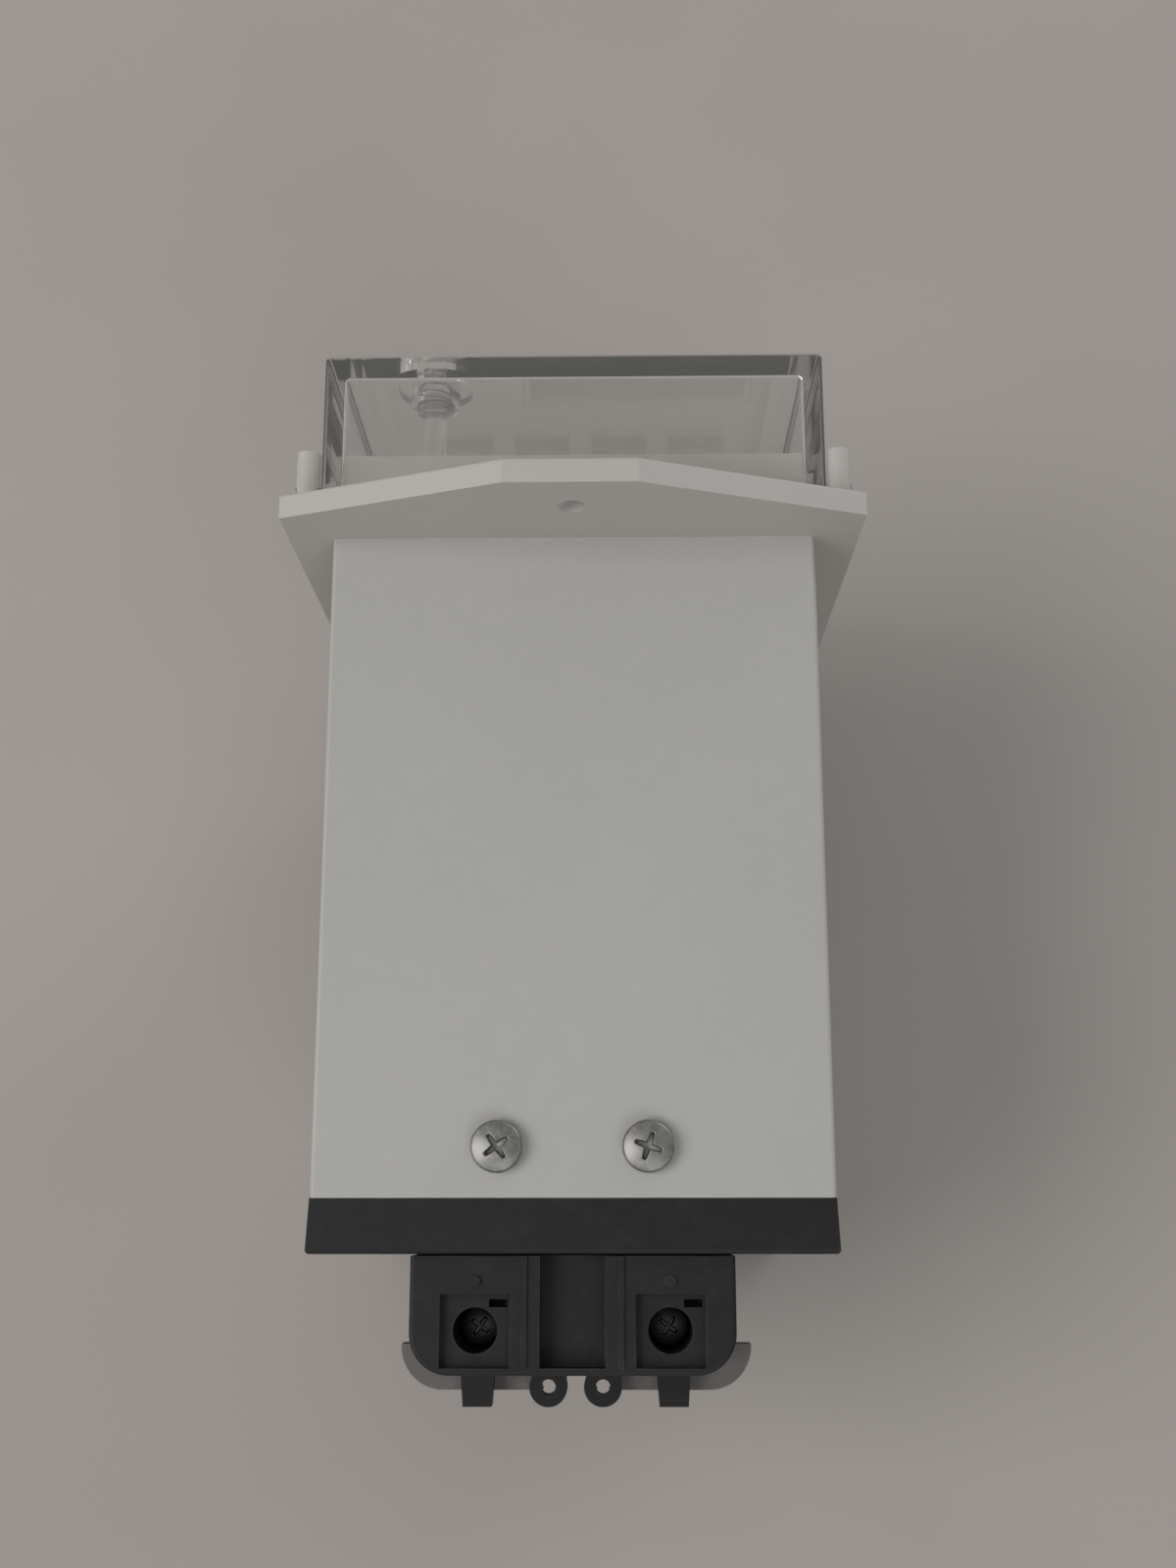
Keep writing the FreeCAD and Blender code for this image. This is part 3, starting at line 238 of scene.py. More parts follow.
def make_grain_group():
    """Moulded grain. Height is fine noise plus a coarser one; Tone is a slow drift of shade."""
    group, nodes, links, inside, outside = start_group("moulded_grain", ["Fineness"], ["Height", "Tone"])
    fine = nodes.new("ShaderNodeTexNoise")
    fine.inputs["Detail"].default_value = 4.0
    pits = nodes.new("ShaderNodeTexVoronoi")
    pits.feature = "SMOOTH_F1"
    for texture in (fine, pits):
        links.new(inside.outputs["Vector"], texture.inputs["Vector"])
        links.new(inside.outputs["Fineness"], texture.inputs["Scale"])
    blend = nodes.new("ShaderNodeMix")
    blend.data_type = "FLOAT"
    blend.inputs["Factor"].default_value = 0.4
    links.new(fine.outputs["Fac"], blend.inputs["A"])
    links.new(pits.outputs["Distance"], blend.inputs["B"])
    links.new(blend.outputs["Result"], outside.inputs["Height"])
    drift = nodes.new("ShaderNodeTexNoise")
    drift.inputs["Scale"].default_value = 14.0
    drift.inputs["Detail"].default_value = 3.0
    links.new(inside.outputs["Vector"], drift.inputs["Vector"])
    links.new(drift.outputs["Fac"], outside.inputs["Tone"])
    return group


def make_dust_group():
    """Dust mask: how far the surface faces up, broken up by noise, times Amount."""
    group, nodes, links, inside, outside = start_group("settled_dust", ["Amount"], ["Mask"])
    geometry = nodes.new("ShaderNodeNewGeometry")
    facing = nodes.new("ShaderNodeVectorMath")
    facing.operation = "DOT_PRODUCT"
    facing.inputs[1].default_value = (0.0, 0.0, 1.0)
    links.new(geometry.outputs["Normal"], facing.inputs[0])
    upward = remap(nodes, links, facing.outputs["Value"], 0.35, 1.0)
    specks = nodes.new("ShaderNodeTexNoise")
    specks.inputs["Scale"].default_value = 260.0
    specks.inputs["Detail"].default_value = 6.0
    specks.inputs["Roughness"].default_value = 0.7
    links.new(inside.outputs["Vector"], specks.inputs["Vector"])
    broken = remap(nodes, links, specks.outputs["Fac"], 0.48, 0.72)
    settled = multiply(nodes, links, upward, broken)
    links.new(multiply(nodes, links, settled, inside.outputs["Amount"]), outside.inputs["Mask"])
    return group


def make_wear_group():
    """Wear mask along edges: where a small bevel would turn the normal, broken up by noise."""
    group, nodes, links, inside, outside = start_group("edge_wear", ["Amount"], ["Mask"])
    bevel = nodes.new("ShaderNodeBevel")
    bevel.samples = 4
    bevel.inputs["Radius"].default_value = 0.0006
    geometry = nodes.new("ShaderNodeNewGeometry")
    facing = nodes.new("ShaderNodeVectorMath")
    facing.operation = "DOT_PRODUCT"
    links.new(bevel.outputs["Normal"], facing.inputs[0])
    links.new(geometry.outputs["Normal"], facing.inputs[1])
    turned = remap(nodes, links, facing.outputs["Value"], 0.985, 0.8)
    rubbed = nodes.new("ShaderNodeTexNoise")
    rubbed.inputs["Scale"].default_value = 120.0
    rubbed.inputs["Detail"].default_value = 5.0
    links.new(inside.outputs["Vector"], rubbed.inputs["Vector"])
    patchy = remap(nodes, links, rubbed.outputs["Fac"], 0.42, 0.62)
    worn = multiply(nodes, links, turned, patchy)
    links.new(multiply(nodes, links, worn, inside.outputs["Amount"]), outside.inputs["Mask"])
    return group


GRAIN = make_grain_group()
DUST = make_dust_group()
WEAR = make_wear_group()
DUST_COLOUR = (0.55, 0.53, 0.5)


def use_group(nodes, links, group, coords, **values):
    """Place a shared group in a material and set its own inputs."""
    node = nodes.new("ShaderNodeGroup")
    node.node_tree = group
    links.new(coords, node.inputs["Vector"])
    for name, value in values.items():
        node.inputs[name].default_value = value
    return node


def add_bump(nodes, links, shader, height, strength, distance):
    """Bump from a height socket on the shader's normal; distance is in metres."""
    bump = nodes.new("ShaderNodeBump")
    bump.inputs["Strength"].default_value = strength
    bump.inputs["Distance"].default_value = distance
    links.new(height, bump.inputs["Height"])
    links.new(bump.outputs["Normal"], shader.inputs["Normal"])


def moulded(name, colour, rough, spread=0.04, depth=0.00006, dust=0.1, specular=0.4, worn=0.0,
            worn_colour=(0.6, 0.6, 0.58)):
    """Moulded plastic: drifting shade, grain in bump and roughness, rubbed edges and dust."""
    material, nodes, links, shader, coords = start_material(name)
    grain = use_group(nodes, links, GRAIN, coords, Fineness=2600.0)
    shade = ramp(nodes, links, grain.outputs["Tone"],
                 [(0.3, tinted(colour, 1 - spread)), (0.7, tinted(colour, 1 + spread))])
    settled = use_group(nodes, links, DUST, coords, Amount=dust)
    if worn:
        rubbed = use_group(nodes, links, WEAR, coords, Amount=worn)
        shade = mix_colour(nodes, links, rubbed.outputs["Mask"], shade, worn_colour)
    dusty = mix_colour(nodes, links, settled.outputs["Mask"], shade, DUST_COLOUR)
    links.new(dusty, shader.inputs["Base Color"])
    smear = smooth_noise(nodes, links, coords, 30.0, 5.0, 0.6, stretch=(1.0, 0.35, 1.0))
    links.new(remap(nodes, links, smear, 0.3, 0.7, rough - 0.06, rough + 0.06), shader.inputs["Roughness"])
    shader.inputs["Specular IOR Level"].default_value = specular
    add_bump(nodes, links, shader, grain.outputs["Height"], 0.5, depth)
    return material


def finish_nodes(material, *names):
    """Give CAD nodes their finish."""
    for name in names:
        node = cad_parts[name]
        node.data.materials.clear()
        node.data.materials.append(material)


CASE_GREY = (0.415, 0.412, 0.39)
FRAME_GREY = (0.465, 0.447, 0.422)
finish_nodes(moulded("case_plastic", CASE_GREY, 0.5, spread=0.025, worn=0.35), "case_tube")
finish_nodes(moulded("frame_plastic", FRAME_GREY, 0.55, spread=0.025, worn=0.3), "front_frame",
             "cover_hinge_posts")


# ---- Clear cover ---------------------------------------------------------------------------------
# Deep box moulded in clear polycarbonate 3 mm thick, which swings up on two small pins. Its walls
# bend light, so its edges look dark, and it carries a few hairline scratches.
def clear_plastic(name, tint, rough, index=1.49, density=4.0, through=(0.86, 0.855, 0.84)):
    """Clear moulding: hairline scratches, some absorption along the walls, and lamps shine through it."""
    material, nodes, links, shader, coords = start_material(name)
    output = next(node for node in nodes if node.type == "OUTPUT_MATERIAL")
    rays = nodes.new("ShaderNodeLightPath")
    lit = nodes.new("ShaderNodeBsdfTransparent")
    lit.inputs["Color"].default_value = (*through, 1.0)
    choose = nodes.new("ShaderNodeMixShader")
    links.new(rays.outputs["Is Shadow Ray"], choose.inputs[0])
    links.new(shader.outputs[0], choose.inputs[1])
    links.new(lit.outputs[0], choose.inputs[2])
    links.new(choose.outputs[0], output.inputs["Surface"])
    soak = nodes.new("ShaderNodeVolumeAbsorption")
    soak.inputs["Color"].default_value = (0.5, 0.47, 0.42, 1.0)
    soak.inputs["Density"].default_value = density
    links.new(soak.outputs[0], output.inputs["Volume"])
    shader.inputs["Base Color"].default_value = (*tint, 1.0)
    shader.inputs["Transmission Weight"].default_value = 0.95
    shader.inputs["IOR"].default_value = index
    hair = smooth_noise(nodes, links, coords, 60.0, 8.0, 0.75, stretch=(1.0, 12.0, 1.0))
    links.new(remap(nodes, links, hair, 0.6, 0.75, rough, rough + 0.12), shader.inputs["Roughness"])
    return material


# The cover's grey tint is partly the plastic's own and partly painted shade: it darkens everything seen
# through the cover.
cover_plastic = clear_plastic("clear_cover_plastic", (0.85, 0.845, 0.83), 0.03, index=1.58, density=2.0,
                              through=(0.74, 0.735, 0.72))
finish_nodes(cover_plastic, "clear_cover")


# ---- Push rod, clip and reset button -------------------------------------------------------------
# Headed rod turned from clear acrylic, held in the cover by a clear clip. It presses a small red
# button in the front plate.
finish_nodes(clear_plastic("clear_rod_plastic", (0.95, 0.95, 0.94), 0.06), "push_rod", "push_rod_clip")
finish_nodes(moulded("button_plastic", (0.42, 0.03, 0.02), 0.35), "reset_button")


# ---- Push-rod spring -----------------------------------------------------------------------------
# Coil spring of 0.44 mm steel wire, 5.3 mm across, with closed end turns. It stands in the bore of the
# cover under the rod's head, and the rod squeezes it as it is pressed.
def metal(name, colour, rough, grain=900.0):
    """Dull plated metal: blotched colour and roughness, with a fine bump."""
    material, nodes, links, shader, coords = start_material(name)
    blotch = smooth_noise(nodes, links, coords, grain, 5.0, 0.65)
    patchy = ramp(nodes, links, blotch, [(0.3, tinted(colour, 0.6)), (0.7, colour)])
    links.new(patchy, shader.inputs["Base Color"])
    shader.inputs["Metallic"].default_value = 1.0
    links.new(remap(nodes, links, blotch, 0.0, 1.0, rough - 0.12, rough + 0.15), shader.inputs["Roughness"])
    add_bump(nodes, links, shader, blotch, 0.4, 0.00005)
    return material


def coil(radius, wire, start, end, turns, around=16, steps=420):
    """Tube along a helix about +Y.

    Centre line (R cos t, y(t), R sin t) with y = start + (end - start) * S(t / 2 pi turns), where S eases
    in and out so that the first and last turns lie nearly flat; the tube is a circle of the wire's
    radius across it.
    """
    t = np.linspace(0.0, 1.0, steps)
    ease = np.clip((t - 0.12) / 0.76, 0.0, 1.0)
    ease = 0.12 * t + 0.88 * ease * ease * (3 - 2 * ease)
    angle = t * turns * 2 * np.pi
    centre = np.stack([radius * np.cos(angle), start + (end - start) * ease, radius * np.sin(angle)], axis=-1)
    ahead = np.gradient(centre, axis=0)
    ahead /= np.linalg.norm(ahead, axis=1, keepdims=True)
    outward = np.stack([np.cos(angle), np.zeros_like(angle), np.sin(angle)], axis=-1)
    beside = np.cross(ahead, outward)
    ring = np.linspace(0.0, 2 * np.pi, around, endpoint=False)
    return (centre[:, None] + wire * (np.cos(ring)[None, :, None] * outward[:, None]
                                      + np.sin(ring)[None, :, None] * beside[:, None]))


def box_arrays(node):
    """Low and high corner of a node's box, as arrays in metres."""
    low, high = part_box(node)
    return np.array(low), np.array(high)


def grid_faces(rows, columns, first):
    """Quads of a rows by columns grid of points, closed round the columns."""
    row, column = np.meshgrid(np.arange(rows - 1), np.arange(columns), indexing="ij")
    after = (column + 1) % columns
    quads = np.stack([row * columns + column, row * columns + after, (row + 1) * columns + after,
                      (row + 1) * columns + column], axis=-1)
    return quads.reshape(-1, 4) + first


def make_piece(name, grids, material, body, smooth=True):
    """One mesh from several point grids, finished, shaded and riding with a body."""
    points, faces, first = [], [], 0
    for grid in grids:
        rows, columns = grid.shape[:2]
        points.append(grid.reshape(-1, 3))
        faces.append(grid_faces(rows, columns, first))
        first += rows * columns
    points, faces = np.concatenate(points), np.concatenate(faces)
    mesh = bpy.data.meshes.new(name)
    mesh.vertices.add(len(points))
    mesh.vertices.foreach_set("co", points.astype(np.float32).ravel())
    mesh.loops.add(faces.size)
    mesh.loops.foreach_set("vertex_index", faces.astype(np.int32).ravel())
    mesh.polygons.add(len(faces))
    mesh.polygons.foreach_set("loop_start", np.arange(0, faces.size, 4, dtype=np.int32))
    mesh.update(calc_edges=True)
    mesh.validate()
    mesh.polygons.foreach_set("use_smooth", np.full(len(faces), smooth))
    mesh.materials.append(material)
    piece = bpy.data.objects.new(name, mesh)
    scene.collection.objects.link(piece)
    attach(piece, body)
    return piece


WIRE = 0.00022
SPRING_TURNS = 2.4
low, high = box_arrays("push_rod_spring")
middle = (low + high) / 2
steel = metal("spring_steel", (0.42, 0.42, 0.43), 0.32, grain=2600.0)
finish_nodes(steel, "push_rod_spring")
turns = coil((high[0] - low[0]) / 2 - WIRE, WIRE, low[1] + WIRE, high[1] - WIRE, SPRING_TURNS)
turns = turns + middle * np.array([1, 0, 1])
spring = make_piece("push_rod_spring_coil", [turns], steel, "cover")
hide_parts("push_rod_spring")
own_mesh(spring)


# ---- Front plate and its printing ----------------------------------------------------------------
# Light-grey plastic plate behind the cover, printed in dark ink 0.04 mm thick: a thin frame round the
# window, a tick beside each lamp, a line under each key and one across the foot of the plate.
def bar(x0, z0, x1, z1, width, lift, skew=0.0):
    """Flat-topped bar between two points of the front, as 3 rings of 4 corners.

    The rings are the outline on the surface, the outline lifted towards -Y, and its middle, lifted too.
    Skew moves each corner along X by that share of its Z, which slants the bar.
    """
    start, end = np.array([x0, z0]), np.array([x1, z1])
    along = (end - start) / np.linalg.norm(end - start)
    beside = np.array([-along[1], along[0]]) * width / 2
    rim = np.array([start + beside, end + beside, end - beside, start - beside])
    rim[:, 0] += skew * rim[:, 1]
    rows = []
    for depth, shrink in ((0.0, 1.0), (lift, 1.0), (lift, 0.0)):
        middle = rim.mean(axis=0)
        flat = middle + (rim - middle) * shrink
        rows.append(np.stack([flat[:, 0], np.full(4, -depth), flat[:, 1]], axis=-1))
    return np.array(rows)


INK_THICK = 0.00004
INK_GAP = 0.00001


def path(points, width):
    """Printed bars joining a list of points."""
    return [bar(*a, *b, width, INK_THICK) for a, b in zip(points, points[1:])]


def frame_path(low, high, margin, width):
    """Printed bars round a box's X and Z sides, a margin outside it."""
    left, right = low[0] - margin, high[0] + margin
    bottom, top = low[2] - margin, high[2] + margin
    return path([(left, bottom), (right, bottom), (right, top), (left, top), (left, bottom)], width)


finish_nodes(moulded("face_plastic", (0.5, 0.5, 0.48), 0.5), "front_plate")
ink = moulded("dark_ink", (0.035, 0.037, 0.04), 0.5, spread=0.1, depth=0.00002, dust=0.0)
face_low, face_high = box_arrays("front_plate")
window_low, window_high = box_arrays("display_window")
lamp_low, lamp_high = box_arrays("indicator_lenses")
WINDOW_MARGIN = 0.0012
TICK_START, TICK_END, TICK_HALF, TICK_WIDE = 0.0012, 0.0042, 0.001, 0.0005
LAMP_PLACES = (0.0715, 0.5, 0.9285)    # shares of the lamp column's height
LINE_WIDE = 0.00035
KEY_LINE_DROP = 0.0042
FOOT_LINE_UP, FOOT_LINE_IN = 0.012, 0.004
marks = frame_path(window_low, window_high, WINDOW_MARGIN, 0.0004)
tick_x = lamp_high[0] + TICK_END
for share in LAMP_PLACES:
    z = lamp_low[2] + (lamp_high[2] - lamp_low[2]) * share
    marks += path([(lamp_high[0] + TICK_START, z), (tick_x, z)], TICK_WIDE)
    marks += path([(tick_x, z - TICK_HALF), (tick_x, z + TICK_HALF)], TICK_WIDE)
key_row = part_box("key_back")[0].z - KEY_LINE_DROP
for name in ("key_back", "key_down", "key_up", "key_enter"):
    low, high = box_arrays(name)
    marks += path([(low[0], key_row), (high[0], key_row)], LINE_WIDE)
foot_z = face_low[2] + FOOT_LINE_UP
marks += path([(face_low[0] + FOOT_LINE_IN, foot_z), (face_high[0] - FOOT_LINE_IN, foot_z)], LINE_WIDE)
printing = [mark + np.array([0, face_low[1] + INK_GAP, 0]) for mark in marks]
make_piece("front_printing", printing, ink, "housing", smooth=False)


# ---- Keys ----------------------------------------------------------------------------------------
# Four dark silicone keys with a white sign printed on each: back, down, up and enter. Small black
# switches stand behind them on the front board.
finish_nodes(moulded("key_silicone", (0.10, 0.105, 0.11), 0.6), "key_back", "key_down", "key_up", "key_enter")
white_ink = moulded("white_ink", (0.62, 0.62, 0.6), 0.5, spread=0.05, depth=0.00002, dust=0.0)
signs = {
    "key_back": [[(0.0018, -0.0012), (0.0018, 0.0008), (-0.0016, 0.0008)],
                 [(-0.0006, 0.0018), (-0.0018, 0.0008), (-0.0006, -0.0002)]],
    "key_down": [[(-0.0018, 0.0008), (0.0, -0.0011), (0.0018, 0.0008)]],
    "key_up": [[(-0.0018, -0.0008), (0.0, 0.0011), (0.0018, -0.0008)]],
    "key_enter": [[(0.0018, 0.0014), (0.0018, -0.0006), (-0.0016, -0.0006)],
                  [(-0.0006, 0.0004), (-0.0018, -0.0006), (-0.0006, -0.0016)]],
}
SIGN_STROKE = 0.00045
for name, strokes in signs.items():
    low, high = box_arrays(name)
    centre = np.array([(low[0] + high[0]) / 2, low[1] + INK_GAP, (low[2] + high[2]) / 2])
    bars = [grid + centre for stroke in strokes for grid in path(stroke, SIGN_STROKE)]
    make_piece(name + "_sign", bars, white_ink, name, smooth=False)


# ---- Display -------------------------------------------------------------------------------------
# Black module with two rows of unlit seven-bar digits, five tall ones over six short ones, behind a
# smoked acrylic window.
window_plastic = clear_plastic("smoked_window", (0.6, 0.58, 0.6), 0.04, through=(0.8, 0.79, 0.8))
finish_nodes(window_plastic, "display_window")
finish_nodes(moulded("display_bezel", (0.03, 0.03, 0.03), 0.4), "display_module")
SEGMENTS = (((-1, 2), (1, 2)), ((1, 2), (1, 0)), ((1, 0), (1, -2)), ((-1, -2), (1, -2)), ((-1, 0), (-1, -2)),
            ((-1, 2), (-1, 0)), ((-1, 0), (1, 0)))
DIGIT_PITCH, DIGIT_WIDE, DIGIT_INSET, DIGIT_STROKE = 3.1, 0.86, 0.16, 0.34
DIGIT_LIFT, DIGIT_SLANT = 0.00012, 0.12
digits = []
window_middle = (window_low + window_high) / 2
for row_up, unit, count in ((0.0052, 0.0024, 5), (-0.0066, 0.0018, 6)):
    for step in range(count):
        place = window_middle + np.array([(step - (count - 1) / 2) * unit * DIGIT_PITCH, 0.0, row_up])
        place[1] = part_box("display_module")[0].y
        for (ax, az), (bx, bz) in SEGMENTS:
            a = np.array([ax * unit * DIGIT_WIDE, az * unit])
            b = np.array([bx * unit * DIGIT_WIDE, bz * unit])
            inset = (b - a) / np.linalg.norm(b - a) * unit * DIGIT_INSET
            grid = bar(*(a + inset), *(b - inset), unit * DIGIT_STROKE, DIGIT_LIFT, skew=DIGIT_SLANT)
            digits.append(grid + place)
digit_ink = moulded("unlit_digit", (0.62, 0.42, 0.38), 0.45, spread=0.05, depth=0.00002, dust=0.0)
make_piece("display_digits", digits, digit_ink, "housing", smooth=False)


# ---- Lamps ---------------------------------------------------------------------------------------
# Three clear light pipes in a column, tinted green, amber and red from the top down, each in front of
# a milky lamp on the front board.
RED, AMBER, GREEN = (0.75, 0.05, 0.04), (0.85, 0.5, 0.05), (0.1, 0.65, 0.12)
lens_plastic = clear_plastic("lens_plastic", (0.8, 0.9, 0.8), 0.15)
nodes, links = lens_plastic.node_tree.nodes, lens_plastic.node_tree.links
apart = nodes.new("ShaderNodeSeparateXYZ")
links.new(next(node for node in nodes if node.type == "TEX_COORD").outputs["Object"], apart.inputs["Vector"])
along = remap(nodes, links, apart.outputs["Z"], float(lamp_low[2]), float(lamp_high[2]))
tints = ramp(nodes, links, along, [(0.2, RED), (0.3, AMBER), (0.7, AMBER), (0.8, GREEN)])
links.new(tints, next(node for node in nodes if node.type == "BSDF_PRINCIPLED").inputs["Base Color"])
finish_nodes(lens_plastic, "indicator_lenses")
finish_nodes(moulded("led_epoxy", (0.75, 0.75, 0.65), 0.3), "indicator_leds")


# ---- Circuit boards ------------------------------------------------------------------------------
# Three glass-epoxy boards, 1.6 mm thick, with green resist over the copper. Tracks show through it as
# lighter lines, and the solder pads are bare tin. The chips on them are black epoxy.
def stripes(nodes, links, coords, pitch, direction, low, high):
    """Parallel lines a pitch apart across X, Y or Z, as a mask; low and high set how wide they are."""
    wave = nodes.new("ShaderNodeTexWave")
    wave.bands_direction = direction
    wave.inputs["Scale"].default_value = math.pi / (10.0 * pitch)
    links.new(coords, wave.inputs["Vector"])
    return remap(nodes, links, wave.outputs["Fac"], low, high)


def compare(nodes, links, value, way, limit):
    """1 where a value is GREATER_THAN or LESS_THAN a limit, and 0 elsewhere."""
    node = nodes.new("ShaderNodeMath")
    node.operation = way
    node.inputs[1].default_value = limit
    links.new(value, node.inputs[0])
    return node.outputs[0]


def circuit_board(name, ways):
    """Square patches of tracks that run one way or the other, under resist, with tinned pads."""
    material, nodes, links, shader, coords = start_material(name)
    patches = nodes.new("ShaderNodeTexVoronoi")
    patches.distance = "CHEBYCHEV"
    patches.inputs["Scale"].default_value = 105.0
    links.new(coords, patches.inputs["Vector"])
    pick = nodes.new("ShaderNodeSeparateColor")
    links.new(patches.outputs["Color"], pick.inputs["Color"])
    tracks = nodes.new("ShaderNodeMix")
    tracks.data_type = "FLOAT"
    links.new(compare(nodes, links, pick.outputs[0], "GREATER_THAN", 0.5), tracks.inputs["Factor"])
    for socket, way in zip("AB", ways):
        links.new(stripes(nodes, links, coords, 0.0013, way, 0.72, 0.82), tracks.inputs[socket])
    resist = mix_colour(nodes, links, tracks.outputs["Result"], (0.012, 0.085, 0.03), (0.035, 0.2, 0.075))
    spots = nodes.new("ShaderNodeTexVoronoi")
    spots.inputs["Scale"].default_value = 300.0
    links.new(coords, spots.inputs["Vector"])
    pad = compare(nodes, links, spots.outputs["Distance"], "LESS_THAN", 0.2)
    links.new(mix_colour(nodes, links, pad, resist, (0.62, 0.61, 0.58)), shader.inputs["Base Color"])
    links.new(pad, shader.inputs["Metallic"])
    shader.inputs["Roughness"].default_value = 0.32
    add_bump(nodes, links, shader, tracks.outputs["Result"], 0.5, 0.00004)
    return material


for name in ("front_board", "main_board", "power_board"):
    low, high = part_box(name)
    sides = sorted(zip(high - low, "XYZ"))
    finish_nodes(circuit_board(name + "_resist", (sides[1][1], sides[2][1])), name)
finish_nodes(moulded("chip_epoxy", (0.02, 0.02, 0.02), 0.45), "board_chips")
finish_nodes(moulded("connector_nylon", (0.78, 0.76, 0.68), 0.45), "board_connectors")


# ---- Relays, transformers and capacitors ---------------------------------------------------------
# Blue relay and current-transformer cases, a varnished lamination stack, and sleeved capacitors.
finish_nodes(moulded("relay_plastic", (0.05, 0.11, 0.3), 0.35), "output_relays", "measuring_transformers")
finish_nodes(metal("core_varnish", (0.2, 0.2, 0.21), 0.5), "transformer_core")
finish_nodes(moulded("capacitor_sleeve", (0.02, 0.04, 0.1), 0.3), "filter_capacitors")


# ---- Ribbon cable and transformer winding --------------------------------------------------------
# Grey ribbon of side-by-side wires, and enamelled copper wire wound in close turns under a clear
# yellow tape. Both carry painted shade in the grooves between the wires.
def wound(name, dark, light, pitch, direction, rough, depth):
    """Lines side by side: light rounded wires with painted shade in the grooves between them, and a bump to
    match.
    """
    material, nodes, links, shader, coords = start_material(name)
    # Mask of the rounded wires; the dark colour between them is painted shade in the grooves.
    wires = stripes(nodes, links, coords, pitch, direction, 0.05, 0.6)
    shade = smooth_noise(nodes, links, coords, 200.0, 4.0)
    worn = ramp(nodes, links, shade, [(0.3, tinted(light, 0.85)), (0.7, light)])
    links.new(mix_colour(nodes, links, wires, dark, worn), shader.inputs["Base Color"])
    shader.inputs["Roughness"].default_value = rough
    add_bump(nodes, links, shader, wires, 0.8, depth)
    return material


RIBBON_PITCH, WINDING_PITCH = 0.00127, 0.0004
finish_nodes(wound("ribbon_vinyl", (0.2, 0.2, 0.21), (0.45, 0.45, 0.46), RIBBON_PITCH, "X", 0.5, 0.0002),
             "ribbon_cable")
finish_nodes(wound("coil_winding", (0.2, 0.12, 0.02), (0.62, 0.42, 0.1), WINDING_PITCH, "Y", 0.35, 0.00008),
             "transformer_coil")


# ---- Rear plate, board rails and upper plug shell ------------------------------------------------
# Black glass-filled plastic, satin where it touched the tool. The plate closes the case and holds the
# plug's socket, the rails hold the boards, and the small key switches are of the same black.
BLACK = (0.011, 0.0105, 0.011)
black_plastic = moulded("black_plastic", BLACK, 0.5, spread=0.12, dust=0.012, specular=0.3, worn=0.5,
                        worn_colour=(0.07, 0.068, 0.066))
finish_nodes(black_plastic, "rear_plate", "plug_upper_shell", "plug_socket", "board_rails", "key_switches")


# ---- Lower plug shell, blades and contacts -------------------------------------------------------
# The plug's lower shell is moulded in mid grey. Its blades, the clamps on them and the socket's springs
# are tinned brass, and so are the stand-offs of the front board.
plug_grey = moulded("plug_grey_plastic", (0.13, 0.122, 0.117), 0.5, spread=0.08, worn=0.3,
                    worn_colour=(0.28, 0.27, 0.26))
finish_nodes(plug_grey, "plug_lower_shell")
finish_nodes(metal("tinned_brass", (0.72, 0.66, 0.5), 0.3), "plug_blades", "socket_contacts",
             "terminal_clamps", "board_standoffs")


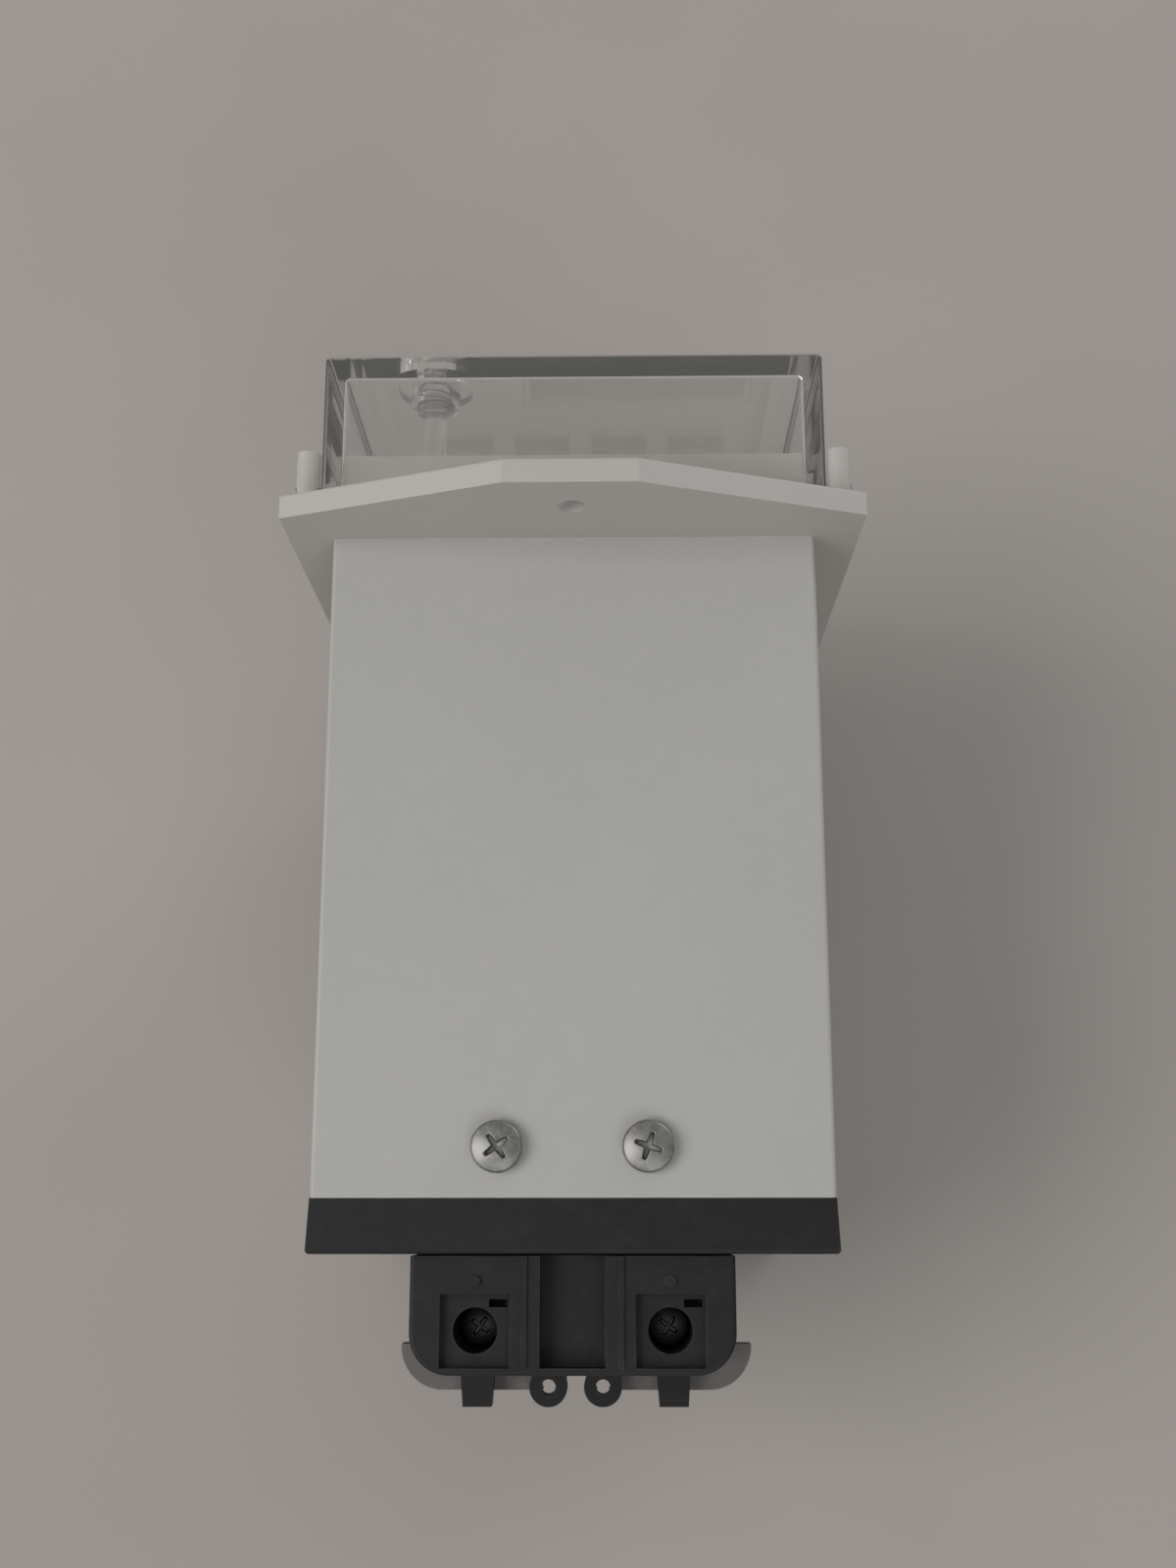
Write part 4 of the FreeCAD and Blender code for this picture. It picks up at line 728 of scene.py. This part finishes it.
# ---- Screws --------------------------------------------------------------------------------------
# Zinc-plated pan-head screws with a cross recess: M4 in the case and the earth terminal, M3.5 in the
# plug and M2.4 on the front board. The washer and the clock's button cell have the same dull plate.
def screw_surface(thread, head, tall, long, turn, around=112):
    """One screw along +Z with its seat at z = 0, as points on a grid of profile steps by angles.

    The profile (r, z) runs up the shank, out under the head and over it:
        shank  r = thread * (1 - 0.13 * |2 * frac(z / pitch - a / 2 pi) - 1|), pitch = 0.35 * thread
        rim    a rounded edge of radius 0.22 * tall, then a dome z = tall - k * (r / head)^2
    The recess is pressed down from the dome by depth * wall(narrow, wide), with narrow = min(|x|, |y|),
    wide = max(|x|, |y|) in the recess's own turned axes, and wall falling smoothly to 0 at the sides.
    """
    angle = np.linspace(0.0, 2.0 * np.pi, around, endpoint=False)
    low_z = np.linspace(-long, 0.0, 46)
    tip = np.clip((low_z + long) / (0.9 * thread), 0.35, 1.0)
    shank_r = np.repeat((thread * tip)[:, None], around, 1)
    pitch = 0.35 * thread
    phase = (low_z[:, None] / pitch - angle[None, :] / (2 * np.pi)) % 1.0
    shank_r = shank_r * (1.0 - 0.13 * np.abs(2.0 * phase - 1.0) * (tip[:, None] > 0.9))
    shank_z = np.repeat(low_z[:, None], around, 1)
    bend, drop = 0.22 * tall, 0.36 * tall
    corner = np.linspace(-np.pi / 2, 0.0, 7)
    rim_r = np.concatenate([head - 0.12 * tall + 0.12 * tall * np.cos(corner),
                            head - bend + bend * np.cos(np.linspace(0.0, np.pi / 2.6, 9))])
    rim_z = np.concatenate([0.12 * tall + 0.12 * tall * np.sin(corner),
                            tall - drop - bend * 0.55 + bend * np.sin(np.linspace(0.0, np.pi / 2.6, 9))])
    dome_r = rim_r[-1] * (1.0 - np.linspace(0.0, 1.0, 52) ** 0.9)[1:]
    dome_z = rim_z[-1] + (tall - rim_z[-1]) * (1.0 - (dome_r / rim_r[-1]) ** 2)
    top_r = np.concatenate([rim_r, dome_r])[:, None] * np.ones((1, around))
    top_z = np.concatenate([rim_z, dome_z])[:, None] * np.ones((1, around))
    x, y = top_r * np.cos(angle + turn), top_r * np.sin(angle + turn)
    narrow, wide = np.minimum(np.abs(x), np.abs(y)), np.maximum(np.abs(x), np.abs(y))
    half_width = head * (0.15 - 0.07 * np.clip(wide / (0.6 * head), 0.0, 1.0))
    side = np.clip((half_width - narrow) / (0.05 * head), 0.0, 1.0)
    end = np.clip((0.58 * head - wide) / (0.16 * head), 0.0, 1.0)
    side, end = side * side * (3 - 2 * side), end * end * (3 - 2 * end)
    over_head = (np.arange(len(top_r)) >= len(rim_r))[:, None]
    slope = 1.0 - 0.35 * np.clip(wide / (0.58 * head), 0.0, 1.0)
    top_z = top_z - over_head * 0.55 * tall * side * end * slope
    radii = np.concatenate([shank_r, top_r])
    heights = np.concatenate([shank_z, top_z])
    return np.stack([radii * np.cos(angle), radii * np.sin(angle), heights], axis=-1)


def stand_at(grid, place, axis):
    """Turn a grid's +Z to an axis of the row frame and move its origin to a place."""
    turn = np.array(Vector(axis).to_track_quat("Z", "Y").to_matrix())
    return grid @ turn.T + np.array(place)


zinc = metal("zinc_plate", (0.36, 0.355, 0.34), 0.48)
finish_nodes(zinc, "case_screws", "terminal_screws", "earth_screw", "front_board_screws", "earth_washer",
             "clock_battery")

PAN_THREAD, PAN_HEAD, PAN_TALL = 0.002, 0.004, 0.0029
low, high = box_arrays("case_screws")
screws = []
for x, turn in ((low[0] + PAN_HEAD, 0.35), (high[0] - PAN_HEAD, 0.92)):
    surface = screw_surface(PAN_THREAD, PAN_HEAD, PAN_TALL, 0.009, turn)
    for side, seat in ((1, case_high.z), (-1, case_low.z)):
        screws.append(stand_at(surface, (x, (low[1] + high[1]) / 2, seat), (0, 0, side)))
case_screw_piece = make_piece("case_screws_detail", screws, zinc, "housing")
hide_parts("case_screws")

CLAMP_THREAD, CLAMP_HEAD, CLAMP_TALL = 0.00175, 0.0031, 0.0024
low, high = box_arrays("terminal_screws")
surface = screw_surface(CLAMP_THREAD, CLAMP_HEAD, CLAMP_TALL, 0.007, 0.61)
screws = []
for x in (low[0] + CLAMP_HEAD, high[0] - CLAMP_HEAD):
    for side, seat in ((1, high[2] - CLAMP_TALL), (-1, low[2] + CLAMP_TALL)):
        screws.append(stand_at(surface, (x, (low[1] + high[1]) / 2, seat), (0, 0, side)))
terminal_screw_piece = make_piece("terminal_screws_detail", screws, zinc, "terminal_plug")
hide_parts("terminal_screws")

low, high = box_arrays("earth_screw")
seat = ((low[0] + high[0]) / 2, high[1] - PAN_TALL, (low[2] + high[2]) / 2)
surface = stand_at(screw_surface(PAN_THREAD, PAN_HEAD, PAN_TALL, 0.0083, 0.2), seat, (0, 1, 0))
earth_piece = make_piece("earth_screw_detail", [surface], zinc, "housing")
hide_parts("earth_screw")


# ---- Rating label --------------------------------------------------------------------------------
# Off-white film glued to the rear plate, with a ruled frame and rows of plain bars where the lettering
# would be.
finish_nodes(moulded("label_film", (0.66, 0.66, 0.63), 0.4), "rating_label")
LABEL_MARGIN, LABEL_LINES = 0.0014, 6
LINE_TOP, LINE_STEP, LINE_START, LINE_STOP = 0.0042, 0.0031, 0.0032, 0.009
BAR_SHORT, BAR_LONG, BAR_TALL, BAR_SPACE = 0.0022, 0.0062, 0.0008, 0.0011
label_low, label_high = box_arrays("rating_label")
rng = np.random.default_rng(7)
rows = frame_path(label_low, label_high, -LABEL_MARGIN, 0.00025)
for line in range(LABEL_LINES):
    z = label_high[2] - LINE_TOP - line * LINE_STEP
    x = label_low[0] + LINE_START
    while x < label_high[0] - LINE_STOP:
        long = float(rng.uniform(BAR_SHORT, BAR_LONG))
        rows += path([(x, z), (x + long, z)], BAR_TALL)
        x += long + BAR_SPACE
label_print = [grid * np.array([1, -1, 1]) + np.array([0, label_high[1] - INK_GAP, 0]) for grid in rows]
make_piece("rating_label_print", label_print, ink, "housing", smooth=False)
